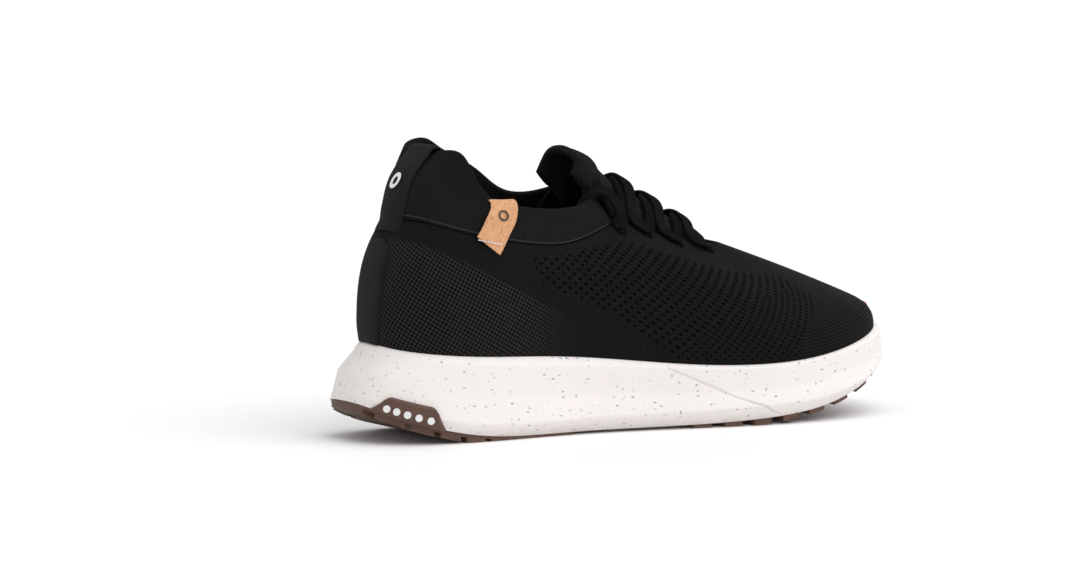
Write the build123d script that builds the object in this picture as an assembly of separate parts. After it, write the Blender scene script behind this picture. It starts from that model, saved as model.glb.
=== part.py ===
from build123d import *
import math
import os
import numpy as np

os.makedirs("parts", exist_ok=True)

# A right running shoe in millimetres: +X to the toe, +Y to the medial side, +Z up.
# Every row below is drawn from the back of the heel; `origin` moves it under the shoe's middle.

# ---- driving dimensions -------------------------------------------------------------------------
KNIT = 2.2            # thickness of the outer knit
CUFF = 3.2            # thickness of the ribbed collar
SKIN_GAP = 0.15       # glue line between stacked layers
FOAM_BASE = 0.04      # underside of the foam, below ROCKER
RUBBER_TOP = 0.06
RUBBER = 3.8          # outsole rubber with its lugs
WEB = 1.5             # outsole rubber between the lugs
BOARD = (0.6, 1.8)    # strobel board, above the footbed
FOAM = (2.6, 6.8)     # insole foam, above the footbed
CLOTH = (6.9, 7.6)    # insole top cloth, above the footbed
EYELET = 4.6          # punched eyelet diameter
LACE = (6.5, 1.5)     # width and thickness of the flat lace
COUNTER_DEPTH = 3.6   # inner face of the heel counter, below the outside of the knit
LINING_DEPTH = (3.8, 5.3)
PUFF_DEPTH = 3.1
STAY_DEPTH = 3.0

# ---- rows of points ------------------------------------------------------------------------------
# Sixteen stations go round the shoe: back of the heel, lateral side, toe tip, medial side.
ROCKER = [(-8, 24), (14, 13.2), (50, 3.8), (105, 1.4), (160, 1.7), (205, 3.4), (245, 9), (280, 21.5),
          (308, 35)]
FOOTBED = [(0, 31), (60, 29), (120, 27), (160, 22), (205, 20), (245, 23), (300, 34)]
BOTTOM_PLAN = [(1.2, 0), (9.5, -26), (50, -38), (105, -34), (160, -40), (205, -47), (245, -45), (280, -28),
               (296, 8), (286, 32), (258, 45), (218, 50), (170, 45), (115, 33), (58, 35), (10.5, 25)]
FLARE = [(1.5, 0, 23), (9.5, -27, 18.8), (50, -41, 9), (105, -39, 8), (160, -45, 8.5), (205, -52, 10),
         (245, -50, 14), (280, -33, 25), (300, 8, 32), (290, 36, 27), (262, 50, 16), (220, 55, 10.5),
         (170, 50, 9), (115, 38, 8.5), (58, 38, 9), (12.5, 25.5, 19)]
CREASE = [(5, 0, 32.8), (13, -26, 30), (52, -39, 22.2), (105, -37, 19.3), (160, -43, 17.7), (205, -50, 17.3),
          (245, -48, 22.4), (281, -31, 29.6), (299, 8, 36), (289, 35, 31.5), (261, 48, 24), (219, 53, 18.5),
          (169, 48, 19), (115, 36, 20), (60, 36, 22), (15, 25, 30)]
RIM = [(12, 0, 41.3), (19, -25, 39), (54, -38.5, 36), (105, -37, 32.7), (160, -43, 29.3), (205, -50, 27.9),
       (245, -48, 32), (280, -31, 39), (297, 8, 42.5), (288, 34, 40), (260, 48, 34), (218, 53, 30),
       (168, 48, 31.5), (115, 36, 34), (60, 36, 36), (22, 24, 39)]
BITE = [(14.5, 0, 45.4), (21.5, -23, 43), (55, -36, 39.7), (105, -34.5, 37), (160, -41, 31.4), (205, -48, 29.6),
        (244, -46, 33.2), (278, -29, 41.4), (293, 8, 45.5), (284, 32, 43), (258, 46, 37), (217, 51, 33),
        (167, 46, 34.5), (115, 34, 37.5), (60, 34, 39.7), (24.5, 22, 43)]
LOW = [(14.7, 0, 63), (21.5, -25, 62), (56, -38.5, 58), (106, -37, 54), (156, -41, 50), (199, -47, 46),
       (236, -43.5, 48), (268, -26, 54), (283, 7, 57), (274, 28, 56), (246, 43, 52), (207, 50, 50),
       (160, 45, 53), (112, 37, 56), (58, 37, 58), (23, 24, 62)]
HIGH = [(17.6, 0, 83), (24.5, -24, 83), (57, -37, 78), (106, -37, 74), (147, -35, 77), (183, -36, 70),
        (216, -29, 66), (243, -15, 67), (252, 5, 69), (245, 21, 68.5), (220, 32, 69), (187, 39, 73),
        (149, 37, 81), (109, 36, 77), (58, 36, 79), (26, 23, 83)]
EDGE = [(27, 0, 102.5), (33, -19, 101.5), (60, -31, 94), (104, -32.5, 89.5), (135, -21, 97), (160, -15.5, 92.5),
        (184, -13, 87), (201, -9, 84.8), (207, 1, 84.6), (203, 11, 86), (186, 15.5, 90.5), (162, 18, 97),
        (137, 22, 102), (105, 33, 92), (61, 31, 95), (34.5, 20, 102.5)]
# The ribbed collar stands on EDGE between the two ends of the throat; its rows start at the medial end.
COLLAR_AT = [0, 1, 1.4, 2, 2.6, 3, 3.5, 4]
COLLAR_MID = [(131.6, 20, 107.9), (119.6, 27, 104.2), (102.6, 30.8, 101.3), (87, 31.5, 105), (66, 30, 112),
              (48, 25, 118), (38, 18.5, 120), (34.2, 0, 119), (38.5, -17.5, 118.5), (50, -23, 112.5),
              (65, -28, 106), (86, -31, 98.5), (102, -30.5, 97.5), (119, -27, 100), (131, -20, 103)]
COLLAR_TOP = [(127.6, 17.5, 114.1), (116.6, 24.5, 110.5), (101, 28.3, 112), (88, 28.5, 121), (69, 27, 131),
              (56, 25.5, 137), (46, 20.5, 136), (44.8, 0, 132.5), (48, -15.5, 134), (54, -21, 131),
              (64, -25.5, 114.5), (84, -27.3, 106.8), (99, -28, 105.3), (116, -24.5, 106.5),
              (127, -17.5, 109.5)]
STATIONS = len(BITE)
RING = np.linspace(0, STATIONS, 41)[:-1]
LEVELS = [0, 0.12, 0.36, 0.66, 1]     # how far up the upper FEATHER, BITE, LOW, HIGH and EDGE lie

# ---- smooth surfaces -----------------------------------------------------------------------------


def spline(points, knots, at, closed=False):
    """Read a natural cubic spline, or a closed one, at the places in `at`."""
    points = np.asarray(points, float)
    knots = np.asarray(knots, float)
    if closed:
        period = knots[-1] - knots[0] + knots[1] - knots[0]
        points = np.concatenate([points[-4:], points, points[:5]])
        knots = np.concatenate([knots[-4:] - period, knots, knots[:5] + period])
    flat = points.reshape(len(knots), -1)
    step = np.diff(knots)
    system = np.eye(len(knots))
    slopes = np.zeros_like(flat)
    for i in range(1, len(step)):
        system[i, i - 1:i + 2] = step[i - 1], 2 * (step[i - 1] + step[i]), step[i]
    slopes[1:-1] = 6 * np.diff(np.diff(flat, axis=0) / step[:, None], axis=0)
    bend = np.linalg.solve(system, slopes)
    at = np.asarray(at, float)
    i = np.clip(np.searchsorted(knots, at, side="right") - 1, 0, len(step) - 1)
    h = step[i][:, None]
    a = (knots[i + 1] - at)[:, None] / h
    b = 1 - a
    value = a * flat[i] + b * flat[i + 1] + ((a**3 - a) * bend[i] + (b**3 - b) * bend[i + 1]) * h**2 / 6
    return value.reshape((len(at),) + points.shape[1:])


def height(profile, x):
    """Height over x of a side profile."""
    profile = np.asarray(profile, float)
    return spline(profile[:, 1:], profile[:, 0], np.atleast_1d(x))[:, 0]


def along(rows, knots_u, knots_v, u, v, closed):
    """Points of the surface through the rows, as an array over u and v."""
    columns = spline(np.transpose(rows, (1, 0, 2)), knots_u, u, closed)
    return np.transpose(spline(np.transpose(columns, (1, 0, 2)), knots_v, v), (1, 0, 2))


def offset(surface, u, v, depth):
    """Points of a surface, moved by `depth` to its inner side."""
    u = np.asarray(u, float)
    v = np.asarray(v, float)
    e = 0.004
    du = surface(u + e, v) - surface(u - e, v)
    dv = surface(u, v + e) - surface(u, v - e)
    inward = np.cross(dv, du)
    inward /= np.linalg.norm(inward, axis=2, keepdims=True)
    return surface(u, v) + depth * inward


def feather_row():
    """Where the upper turns under the foot: just inside BITE, at the footbed's height."""
    row = []
    for x, y, _ in BITE:
        spine = np.array([min(max(x, 45), 262), 0 if x < 150 else 3])
        toward = (spine - (x, y)) / np.linalg.norm(spine - (x, y))
        inside = np.array([x, y]) + 3.5 * toward
        row.append((*inside, height(FOOTBED, inside[0])[0] + 0.6))
    return row


FEATHER = feather_row()
BOTTOM = [(x, y, height(ROCKER, x)[0]) for x, y in BOTTOM_PLAN]
UPPER_ROWS = np.array([FEATHER, BITE, LOW, HIGH, EDGE])
SIDE_ROWS = np.array([BOTTOM, FLARE, CREASE, RIM])
SIDE_LEVELS = [0, 0.25, 0.65, 1]


def upper(u, v):
    return along(UPPER_ROWS, np.arange(STATIONS), LEVELS, np.mod(u, STATIONS), v, True)


def side(u, v):
    return along(SIDE_ROWS, np.arange(STATIONS), SIDE_LEVELS, np.mod(u, STATIONS), v, True)


COLLAR_KNOTS = [-k for k in COLLAR_AT[:0:-1]] + COLLAR_AT
COLLAR_ROWS = np.array([upper(COLLAR_KNOTS, [1])[:, 0] + (0, 0, 1), COLLAR_MID, COLLAR_TOP])


def collar(u, v):
    return along(COLLAR_ROWS, COLLAR_KNOTS, [0, 0.5, 1], u, v, False)


# ---- solids --------------------------------------------------------------------------------------


def origin():
    """The shift that puts the middle of the sole's outline over 0, 0."""
    grid = side(np.linspace(0, STATIONS, 321), np.linspace(0, 1, 41))
    middle = (grid.min(axis=(0, 1)) + grid.max(axis=(0, 1))) / 2
    return Location((-middle[0], -middle[1], 0))


TO_ORIGIN = origin()


def save(name, *solids):
    moved = [s.moved(TO_ORIGIN) for s in solids]
    export_step(moved[0] if len(moved) == 1 else Compound(children=moved), f"parts/{name}.step")


def ring(points):
    """Closed smooth wire."""
    return Wire([Edge.make_spline([Vector(*p) for p in points], periodic=True)])


def wall(wires, ruled=False):
    return Shell.make_loft(wires, ruled=ruled).faces()


def patch(outer, inner):
    """Solid between two grids of points that have the same layout."""
    faces = []
    for grid in (outer, inner):
        points = [[Vector(*p) for p in line] for line in grid]
        faces.append(Face.make_surface_from_array_of_points(points, tol=0.03, min_deg=3, max_deg=3))
    sides = []
    for edge in faces[0].edges():
        twin = min(faces[1].edges(), key=lambda e: (e.position_at(0.5) - edge.position_at(0.5)).length)
        sides.append(Face.make_surface_from_curves(edge, twin))
    return Solid(Shell([*faces, *sides]))


def on(surface, u, v, near, far):
    """Solid layer of a surface, from the depth `near` to the depth `far`; below 0 is outside."""
    return patch(offset(surface, u, v, near), offset(surface, u, v, far))


def under(profile, drop, width=150):
    """Everything below a side profile that is lowered by `drop`."""
    ends = np.linspace(profile[0][0], profile[-1][0], 31)
    points = [(x, z - drop) for x, z in zip(ends, height(profile, ends))]
    (x0, z0), (x1, z1) = points[0], points[-1]
    with BuildSketch(Plane.XZ) as sketch:
        with BuildLine():
            Spline(*points)
            Polyline(points[-1], (x1, -40), (x0, -40), points[0])
        make_face()
    return extrude(sketch.sketch, width / 2, both=True).solid()


def prism(points, low=-10, high=60):
    """Upright block on a closed smooth outline."""
    outline = Face(ring([(x, y, low) for x, y, *_ in points]))
    return Solid.extrude(outline, Vector(0, 0, high - low))


def inset(points, amount):
    """Closed plan outline moved inward."""
    points = np.asarray(points, float)[:, :2]
    step = np.roll(points, -1, axis=0) - np.roll(points, 1, axis=0)
    inward = np.stack([-step[:, 1], step[:, 0]], 1) / np.linalg.norm(step, axis=1, keepdims=True)
    return points + amount * inward


# ---- sole ----------------------------------------------------------------------------------------


def make_midsole():
    rows = [side(RING, [v])[:, 0] for v in (0, 0.12, 0.25, 0.45, 0.65, 0.85, 1)]
    below = rows[0] - (0, 0, 9)
    bite = upper(RING, [LEVELS[1]])[:, 0]
    feather = upper(RING, [0])[:, 0]
    wires = [ring(r) for r in (below, *rows)]
    bite, feather, bed = ring(bite), ring(feather), ring(feather - (0, 0, 0.6))
    middle = [Vector(x, 1, height(FOOTBED, x)[0]) for x in (50, 90, 130, 170, 210, 245)]
    faces = [Face.make_surface(wires[0]), *wall(wires[:2], True), *wall(wires[1:])]
    faces += [*wall([wires[-1], bite], True), *wall([bite, feather], True), *wall([feather, bed], True)]
    faces += [Face.make_surface(bed, middle)]
    board_seat = make_layer(inset(offset(upper, RING, [0], KNIT)[:, 0], 0.1), (BOARD[0] - 0.2, 8))
    return Solid(Shell(faces)) - under(ROCKER, FOAM_BASE) - board_seat


SOLE_PLAN = side(RING, [0])[:, 0]
LUG_GROOVE = 3.2
FOREFOOT_TREAD = [(150, -1), (180, -0.6), (205, 0.2), (225, 2.7), (245, 6.9), (280, 19.6), (308, 33)]


def make_pad(span, waist, web_in, tread, pitch, first, groove):
    """Rubber pad: rows of lugs down to `tread`, and a web that ends `web_in` inside the foam's edge.

    `waist` is the middle of the round cut at its waist end, and `first` the first groove across it.
    """
    low, high = span
    room = Pos((low + high) / 2, 0, 30) * Box(high - low, 150, 60) - Pos(waist, 0, 30) * Cylinder(26, 60)
    web = prism(inset(SOLE_PLAN, web_in), 0, 60) & room & (under(ROCKER, RUBBER_TOP) - under(ROCKER, WEB))
    lugs = prism(inset(SOLE_PLAN, 0.8), 0, 60) & room & (under(ROCKER, RUBBER_TOP) - tread)
    cuts = [Pos((low + high) / 2, y, 20) * Box(high - low, LUG_GROOVE, 60) for y in (-17, 17)]
    for x in np.arange(first, high, pitch):
        for y, shift in ((-45, 0), (0, pitch / 2), (45, 0)):
            cuts.append(Pos(x + shift, y, 20) * Box(groove, 56 if y else 32, 60))
    return web + (lugs - cuts)


def plate_face(across, up):
    """The sole's side under the rubber plate, whose two ends lean towards each other."""
    rows = []
    for v in up:
        back, front = 0.78 + 0.62 * v, 1.7 - 0.3 * v
        rows.append(side(back + (front - back) * np.asarray(across), [v])[:, 0])
    return np.stack(rows, 1)


def make_window():
    """Rubber plate that laps up the side of the heel, and the row of plain raised dots on it."""
    plate = on(plate_face, np.linspace(0, 1, 12), np.linspace(0.03, 0.41, 7), -0.4, -1.6)
    dots = [stud(side, at, 0.2, 1.65, 1.7, 0.7) for at in np.linspace(1.04, 1.54, 5)]
    return plate, dots


def stud(surface, u, v, lift, radius, tall):
    """Short round post that stands on a surface."""
    foot = offset(surface, [u], [v], -lift)[0, 0]
    head = offset(surface, [u], [v], -lift - 1)[0, 0]
    return Plane(origin=tuple(foot), z_dir=tuple(head - foot)) * Cylinder(
        radius, tall, align=(Align.CENTER, Align.CENTER, Align.MIN))


# ---- underfoot layers ----------------------------------------------------------------------------


def make_layer(outline, levels):
    """Warped sheet that follows the footbed between two heights above it."""
    return prism(outline) & (under(FOOTBED, -levels[1]) - under(FOOTBED, -levels[0]))


def bead(start, end, radius):
    """One straight stitch."""
    start, end = Vector(*start), Vector(*end)
    plane = Plane(origin=start, z_dir=end - start)
    return plane * Cylinder(radius, (end - start).length, align=(Align.CENTER, Align.CENTER, Align.MIN))


def stitches(points, radius, fill=0.6):
    """Row of stitches along a line of points, each covering a part of its step."""
    row = []
    for start, end in zip(points[:-1], points[1:]):
        row.append(bead(start, start + fill * (end - start), radius))
    return row


# ---- upper ---------------------------------------------------------------------------------------
EYELET_AT = [4.04, 4.63, 5.32, 6.04]   # lateral stations of the eyelets, from the ankle to the toe
EYELET_UP = 0.93


def opposite(u):
    return STATIONS - u


def punched(solid, stations):
    """Punch the eyelets at these stations."""
    for u in stations:
        place_out, place_in = (offset(upper, [u], [EYELET_UP], d)[0, 0] for d in (-6, 6))
        solid -= bead(place_out, place_in, EYELET / 2)
    return solid


def make_upper_knit():
    low = LEVELS[:2]
    tall = [LEVELS[1], 0.24, 0.36, 0.5, 0.66, 0.83, 1]
    faces = []
    ends = []
    for depth in (0, KNIT):
        skirt = [ring(offset(upper, RING, [v], depth)[:, 0]) for v in low]
        body = [skirt[-1]] + [ring(offset(upper, RING, [v], depth)[:, 0]) for v in tall[1:]]
        faces += [*wall(skirt, True), *wall(body)]
        ends.append((skirt[0], body[-1]))
    for outer, inner in zip(*ends):
        faces += wall([outer, inner], True)
    shell = Solid(Shell(faces))
    return punched(shell, EYELET_AT + [opposite(u) for u in EYELET_AT])


# ---- tongue --------------------------------------------------------------------------------------
# Its rows run from under the vamp to the top. The first six lie under the throat's two edges.
TONGUE_DEPTH = 5.6     # of its two edges below the outside of the knit, on the lateral side
TONGUE_MEDIAL = 6.8
TONGUE_THICK = 3.5
TONGUE_UNDER = [(7.3, 0.93), (6.6, 0.91), (5.9, 0.88), (5.2, 0.85), (4.6, 0.83), (4.05, 0.82)]
TONGUE_CREST = [(214, 1, 75), (203.5, 1, 80.5), (188, 1.2, 92.5), (171, 1.5, 102.5), (156, 1.5, 111),
                (143, 1.5, 119)]
TONGUE_TOP = [[(131, -12.5, 106), (134, -11, 118), (134, 1, 126.5), (131, 12, 118.5), (129, 13, 107)],
              [(124, -14, 113), (128.5, -12, 124), (126, 1, 131.5), (123, 13, 123.5), (120, 14, 113)],
              [(117, -13, 122), (121, -9.5, 130.5), (117, 2, 134.5), (115, 11, 129.5), (112, 13.5, 121)]]
HINGE = np.array([138.8, 0, 123])
HINGE_BACK = np.array([-0.77, 0, 0.64])


def tongue_rows():
    rows = []
    for (u, v), crest in zip(TONGUE_UNDER, TONGUE_CREST):
        lateral = offset(upper, [u], [v, v + 0.06], TONGUE_DEPTH)[0]
        medial = offset(upper, [opposite(u)], [v + 0.06, v], TONGUE_MEDIAL)[0]
        rows.append([*lateral, np.array(crest), *medial])
    return np.array(rows + [[np.array(p, float) for p in row] for row in TONGUE_TOP])


TONGUE_ROWS = tongue_rows()


def tongue(u, v):
    """The tongue's outer face: u counts its rows and v runs across it."""
    columns = spline(TONGUE_ROWS, np.arange(len(TONGUE_ROWS)), u)
    return np.transpose(spline(np.transpose(columns, (1, 0, 2)), np.linspace(0, 1, 5), v), (1, 0, 2))


def trimmed(depth, beyond, gap):
    """Grid of the tongue's face at a depth, ending at the fold; `beyond` picks the free top."""
    u = np.linspace(0, len(TONGUE_ROWS) - 1, 201)
    v = np.linspace(0, 1, 13)
    face = offset(tongue, u, v, -depth)
    reach = (face - HINGE) @ HINGE_BACK + gap
    columns = []
    for j in range(len(v)):
        fold = np.interp(0, reach[:, j], u)
        at = np.linspace(fold, u[-1], 13) if beyond else np.linspace(0, fold, 31)
        columns.append(np.stack([np.interp(at, u, face[:, j, k]) for k in range(3)], 1))
    return np.stack(columns, 1)


def make_tongue():
    """The tongue under the laces and its free top, which folds forward about HINGE."""
    lower = patch(trimmed(0, False, 0.5), trimmed(TONGUE_THICK, False, 0.5))
    top = patch(trimmed(0, True, 0), trimmed(TONGUE_THICK, True, 0))
    return lower, top


# ---- lace ----------------------------------------------------------------------------------------


def ribbon(points, normals, width, thick):
    """Flat strip along a smooth line, with its broad face across the normals."""
    points = np.asarray(points, float)
    normals = np.asarray(normals, float)
    knots = np.concatenate([[0], np.cumsum(np.linalg.norm(np.diff(points, axis=0), axis=1))])
    at = np.linspace(0, knots[-1], 6 * len(points))
    centre = spline(points, knots, at)
    up = spline(normals, knots, at)
    run = np.gradient(centre, axis=0)
    across = np.cross(up, run)
    across /= np.linalg.norm(across, axis=1, keepdims=True)
    up = np.cross(run, across)
    up /= np.linalg.norm(up, axis=1, keepdims=True)
    lanes = width * np.linspace(-0.5, 0.5, 5)[None, :, None]
    top, base = (centre[:, None] + across[:, None] * lanes + k * thick / 2 * up[:, None] for k in (1, -1))
    return patch(top, base)


def over_tongue(station, across, lift):
    """A point and the outward normal on the tongue, abreast of a station of the throat."""
    row = np.interp(-station, [-u for u, _ in TONGUE_UNDER], np.arange(len(TONGUE_UNDER)))
    foot, head = (offset(tongue, [row], [across], d)[0, 0] for d in (lift, lift + 1))
    return foot, head - foot


def over_upper(station, up, lift):
    foot, head = (offset(upper, [station], [up], -d)[0, 0] for d in (lift, lift + 1))
    return foot, head - foot


def crossing(i, lateral, layer):
    """One pass of the lace: out of an eyelet, over the tongue, under the far edge to the next eyelet."""
    near, far = EYELET_AT[i + 1], EYELET_AT[i]

    def here(u):
        return u if lateral else opposite(u)

    def across(v):
        return v if lateral else 1 - v
    steps = [over_upper(here(near), EYELET_UP, 1.2),
             over_upper(here(0.9 * near + 0.1 * far), 1, 2.0),
             over_tongue(0.62 * near + 0.38 * far, across(0.43), 1.6 + layer),
             over_tongue(0.5 * near + 0.5 * far, across(0.5), 1.5 + layer),
             over_tongue(0.35 * near + 0.65 * far, across(0.57), 1.6 + 0.5 * layer),
             over_tongue(0.25 * near + 0.75 * far, across(0.62), 1.6)]
    points, normals = zip(*steps)
    return ribbon(points, normals, *LACE)


def lace_bar():
    """The lowest pass, which lies under both edges of the throat."""
    u = EYELET_AT[-1] + 0.1
    steps = [over_tongue(u, across, 1.5) for across in (0.39, 0.44, 0.5, 0.56, 0.61)]
    points, normals = zip(*steps)
    return ribbon(points, normals, *LACE)


TAIL = [(138.6, -21.6, 103), (137, -20.7, 107), (134, -19.6, 111.5)]
TAIL_NORMALS = [(0.45, -0.8, 0.35), (0.45, -0.82, 0.32), (0.4, -0.85, 0.3)]
TUCKED = [(120.5, -17.2, 103.5), (117.5, -18, 98.5), (115.5, -18.5, 93)]


def lace_tail(lateral):
    """The end of the lace, from the top eyelet up to the collar's corner, and its end inside."""
    u = EYELET_AT[0] if lateral else opposite(EYELET_AT[0])
    start, normal = over_upper(u, EYELET_UP, 1.2)
    edge, edge_normal = over_upper(u + (0.06 if lateral else -0.06), 1, 2.2)
    mirror = np.array([1, 1 if lateral else -1, 1])
    points = [start, edge, *(np.array(TAIL) * mirror + (0, 0, 0 if lateral else 3))]
    normals = [normal, edge_normal, *(np.array(TAIL_NORMALS) * mirror)]
    tucked = ribbon(np.array(TUCKED) * mirror, [np.array((-0.3, -1, 0)) * mirror] * len(TUCKED), *LACE)
    return ribbon(points, normals, *LACE), tucked


def make_aglet(lateral):
    """Clear sleeve on the end of the lace, which hangs inside the shoe."""
    mirror = 1 if lateral else -1
    start = Vector(115.4, -18.5 * mirror, 92.5)
    return bead(start, start + Vector(-2, -0.5 * mirror, -17), 1.4)


def make_lace():
    passes = [lace_bar()]
    for i in range(len(EYELET_AT) - 1):
        passes.append(crossing(i, True, 1.8))
        passes.append(crossing(i, False, 0))
    return passes + [*lace_tail(True), *lace_tail(False)]


# ---- heel and labels -----------------------------------------------------------------------------
TAPE_HALF = 0.45          # half width of the heel tape, in stations
TAPE_RISE = (0.125, 0.835) # how far up the upper the heel tape runs
TAPE_LIFT = 1.1           # outer face of the heel tape, above the knit
LOOP_WIDTH = 22
LOOP_THICK = 1.6
LOOP_LIFT = (1.6, 3.2)    # how far the pull loop's line lies off the collar, at its foot and at the rim
LOOP_BOW = 0.9            # how much further its middle stands off
# The loop's end over the rim, as distances outward from the rim and upward along the collar.
LOOP_OVER = [(3.1, 1.6), (1.8, 3.2), (-0.8, 3.9), (-3.6, 2.9), (-4.9, 0.2), (-5, -3.5), (-4.8, -10)]


def heel_line(v, lift):
    """Points up the back of the collar, lifted off it."""
    return offset(collar, [0], v, -lift)[0]


def strap(points, width, thick):
    """Flat strap whose line lies in the shoe's middle plane."""
    points = np.asarray(points, float)
    run = np.gradient(points, axis=0)
    normals = np.stack([-run[:, 2], 0 * run[:, 0], run[:, 0]], 1)
    return ribbon(points, normals, width, thick)


def over_rim():
    """Points of the pull loop where it folds over the collar's rim."""
    rim, below = collar([0], [1, 0.9])[0]
    outward = offset(collar, [0], [1], -1)[0, 0] - rim
    upward = (rim - below) / np.linalg.norm(rim - below)
    return [rim + out * outward + up * upward for out, up in LOOP_OVER]


def make_loop():
    """The free span of the pull loop, and its two sewn ends."""
    v = np.linspace(0.02, 0.97, 7)
    share = (v - v[0]) / (v[-1] - v[0])
    stand = np.interp(share, (0, 1), LOOP_LIFT) + LOOP_BOW * np.sin(np.pi * share)
    line = np.array([heel_line([at], rise)[0] for at, rise in zip(v, stand)])
    span = strap(line, LOOP_WIDTH, LOOP_THICK)
    foot = [offset(upper, [0], [at], -1.3)[0, 0] for at in (0.9, 0.94, 0.98)]
    foot.append(line[0] - 0.6 * (line[1] - line[0]) / np.linalg.norm(line[1] - line[0]))
    top = line[-1] + 0.6 * (line[-1] - line[-2]) / np.linalg.norm(line[-1] - line[-2])
    return (span, strap(foot, LOOP_WIDTH, LOOP_THICK), strap([top, *over_rim()], LOOP_WIDTH, LOOP_THICK))


def make_loop_print(line_at=0.47):
    """Plain printed ring on the outside of the pull loop."""
    stand = np.mean(LOOP_LIFT) + LOOP_BOW + LOOP_THICK / 2 + 0.3
    foot, head = (offset(collar, [0], [line_at], -d)[0, 0] for d in (stand, stand + 1))
    plane = Plane(origin=tuple(foot), z_dir=tuple(head - foot))
    align = (Align.CENTER, Align.CENTER, Align.MIN)
    return plane * (Cylinder(4.2, 0.3, align=align) - Cylinder(2.2, 0.3, align=align))


def make_tape():
    """Webbing up the back of the heel, with a domed upper end."""
    return on(upper, np.linspace(-TAPE_HALF, TAPE_HALF, 9), np.linspace(*TAPE_RISE, 17), -SKIN_GAP,
              -TAPE_LIFT)


LABEL = (14, 0.9)     # width and thickness of the side label
LABEL_AT = 2.1
# Stations, levels and depths of the label's line on the collar and, below it, on the upper.
LABEL_RIM = [(2.27, 0.72, CUFF + 1.2), (2.27, 0.9, CUFF + 1.2), (2.27, 1.14, CUFF / 2), (2.26, 1, -1.2),
             (2.22, 0.75, -1.2), (2.17, 0.5, -1.2), (2.12, 0.25, -1.2)]
LABEL_FOOT = [(2.07, 0.985, -1.2), (2.03, 0.92, -1.2)]


def label_line():
    """The label's line, from inside the collar over its rim and down past the seam; it leans a little."""
    rim = [offset(collar, [u], [v], depth)[0, 0] for u, v, depth in LABEL_RIM]
    foot = [offset(upper, [u], [v], depth)[0, 0] for u, v, depth in LABEL_FOOT]
    return np.array(rim + foot)


def make_side_label():
    points = label_line()
    run = np.gradient(points, axis=0)
    normals = np.cross(run, (1, 0, 0.0))
    return ribbon(points, normals, *LABEL)


# ---- thread and small trim -----------------------------------------------------------------------


def make_seam_stitch():
    """Light thread along the collar's seam, broken by the pull loop and the side label."""
    at = np.linspace(-3.9, 3.9, 79)
    line = offset(collar, at, [0.04], -0.5)[:, 0]
    return [s for s, u in zip(stitches(line, 0.3, 0.6), at)
            if abs(u) > 0.65 and abs(u + 0.05 - LABEL_AT) > 0.3]


def make_strobel_stitch():
    """Thread that joins the knit to the strobel board, all the way round."""
    line = inset(offset(upper, np.linspace(0, STATIONS, 49), [0], KNIT)[:, 0], 2.2)
    rise = (BOARD[1] + FOAM[0]) / 2
    line = [np.array([x, y, height(FOOTBED, x)[0] + rise]) for x, y in line]
    return stitches(line, 0.2)


def make_label_stitch():
    middle = LABEL_FOOT[1][0] + 0.01
    line = offset(upper, np.linspace(middle - 0.14, middle + 0.14, 9), [0.95], -2.3)[:, 0]
    return stitches(line, 0.3, 0.7)


def make_label_print():
    middle = label_line()[5]
    station, level, _ = LABEL_RIM[5]
    outward = offset(collar, [station], [level], -2)[0, 0] - offset(collar, [station], [level], -1)[0, 0]
    foot = middle + 0.75 * outward
    plane = Plane(origin=tuple(foot), z_dir=tuple(outward))
    align = (Align.CENTER, Align.CENTER, Align.MIN)
    return plane * (Cylinder(2.6, 0.2, align=align) - Cylinder(1.8, 0.2, align=align))


# ---- the assembly --------------------------------------------------------------------------------
inner_feather = offset(upper, RING, [0], KNIT)[:, 0]
insole_outline = inset(inner_feather, 0.6)
back_of_knit = KNIT + SKIN_GAP
window, window_dots = make_window()
tongue_lower, tongue_top = make_tongue()
loop_span, *loop_ends = make_loop()

save("midsole", make_midsole())
save("outsole_heel", make_pad((0, 106), 124, 0.8, under(ROCKER, RUBBER), 13, 6.5, LUG_GROOVE))
save("outsole_forefoot", make_pad((166, 288), 148, 7, under(FOREFOOT_TREAD, 0), 15.5, 165.25, 6.5))
save("outsole_heel_window", window)
save("window_dots", *window_dots)
save("strobel_board", make_layer(inset(inner_feather, 0.3), BOARD))
save("strobel_stitch", *make_strobel_stitch())
save("insole_foam", make_layer(insole_outline, FOAM))
save("insole_top_cloth", make_layer(insole_outline, CLOTH))
save("upper_knit", make_upper_knit())
save("heel_counter", on(upper, np.linspace(-2.2, 2.2, 31), np.linspace(0.14, 0.62, 11), back_of_knit,
                        COUNTER_DEPTH))
save("heel_lining", on(upper, np.linspace(-2.6, 2.6, 41), np.linspace(0.15, 0.97, 17), *LINING_DEPTH))
save("toe_puff", on(upper, np.linspace(6.9, 9.1, 25), np.linspace(0.14, 0.5, 9), back_of_knit, PUFF_DEPTH))
save("collar_cuff", on(collar, np.linspace(-4, 4, 49), np.linspace(0, 1, 11), 0, CUFF))
save("collar_seam_stitch", *make_seam_stitch())
for name, near, far in (("lateral", 3.75, 6.6), ("medial", opposite(6.6), opposite(3.75))):
    stay = on(upper, np.linspace(near, far, 25), np.linspace(0.83, 0.985, 6), back_of_knit, STAY_DEPTH)
    save(f"eyestay_{name}", punched(stay, [u if name == "lateral" else opposite(u) for u in EYELET_AT]))
save("tongue", tongue_lower)
save("tongue_top", tongue_top)
save("lace", *make_lace())
save("lace_aglets", make_aglet(True), make_aglet(False))
save("heel_tape", make_tape())
save("heel_pull_loop", loop_span)
save("heel_loop_ends", *loop_ends)
save("loop_print", make_loop_print())
save("side_label", make_side_label())
save("side_label_stitch", *make_label_stitch())
save("side_label_print", make_label_print())
save("toe_label", on(upper, np.linspace(7.62, 7.8, 5), np.linspace(0.14, 0.22, 5), -0.4, -0.9))
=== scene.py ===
import math
from functools import reduce

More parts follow.
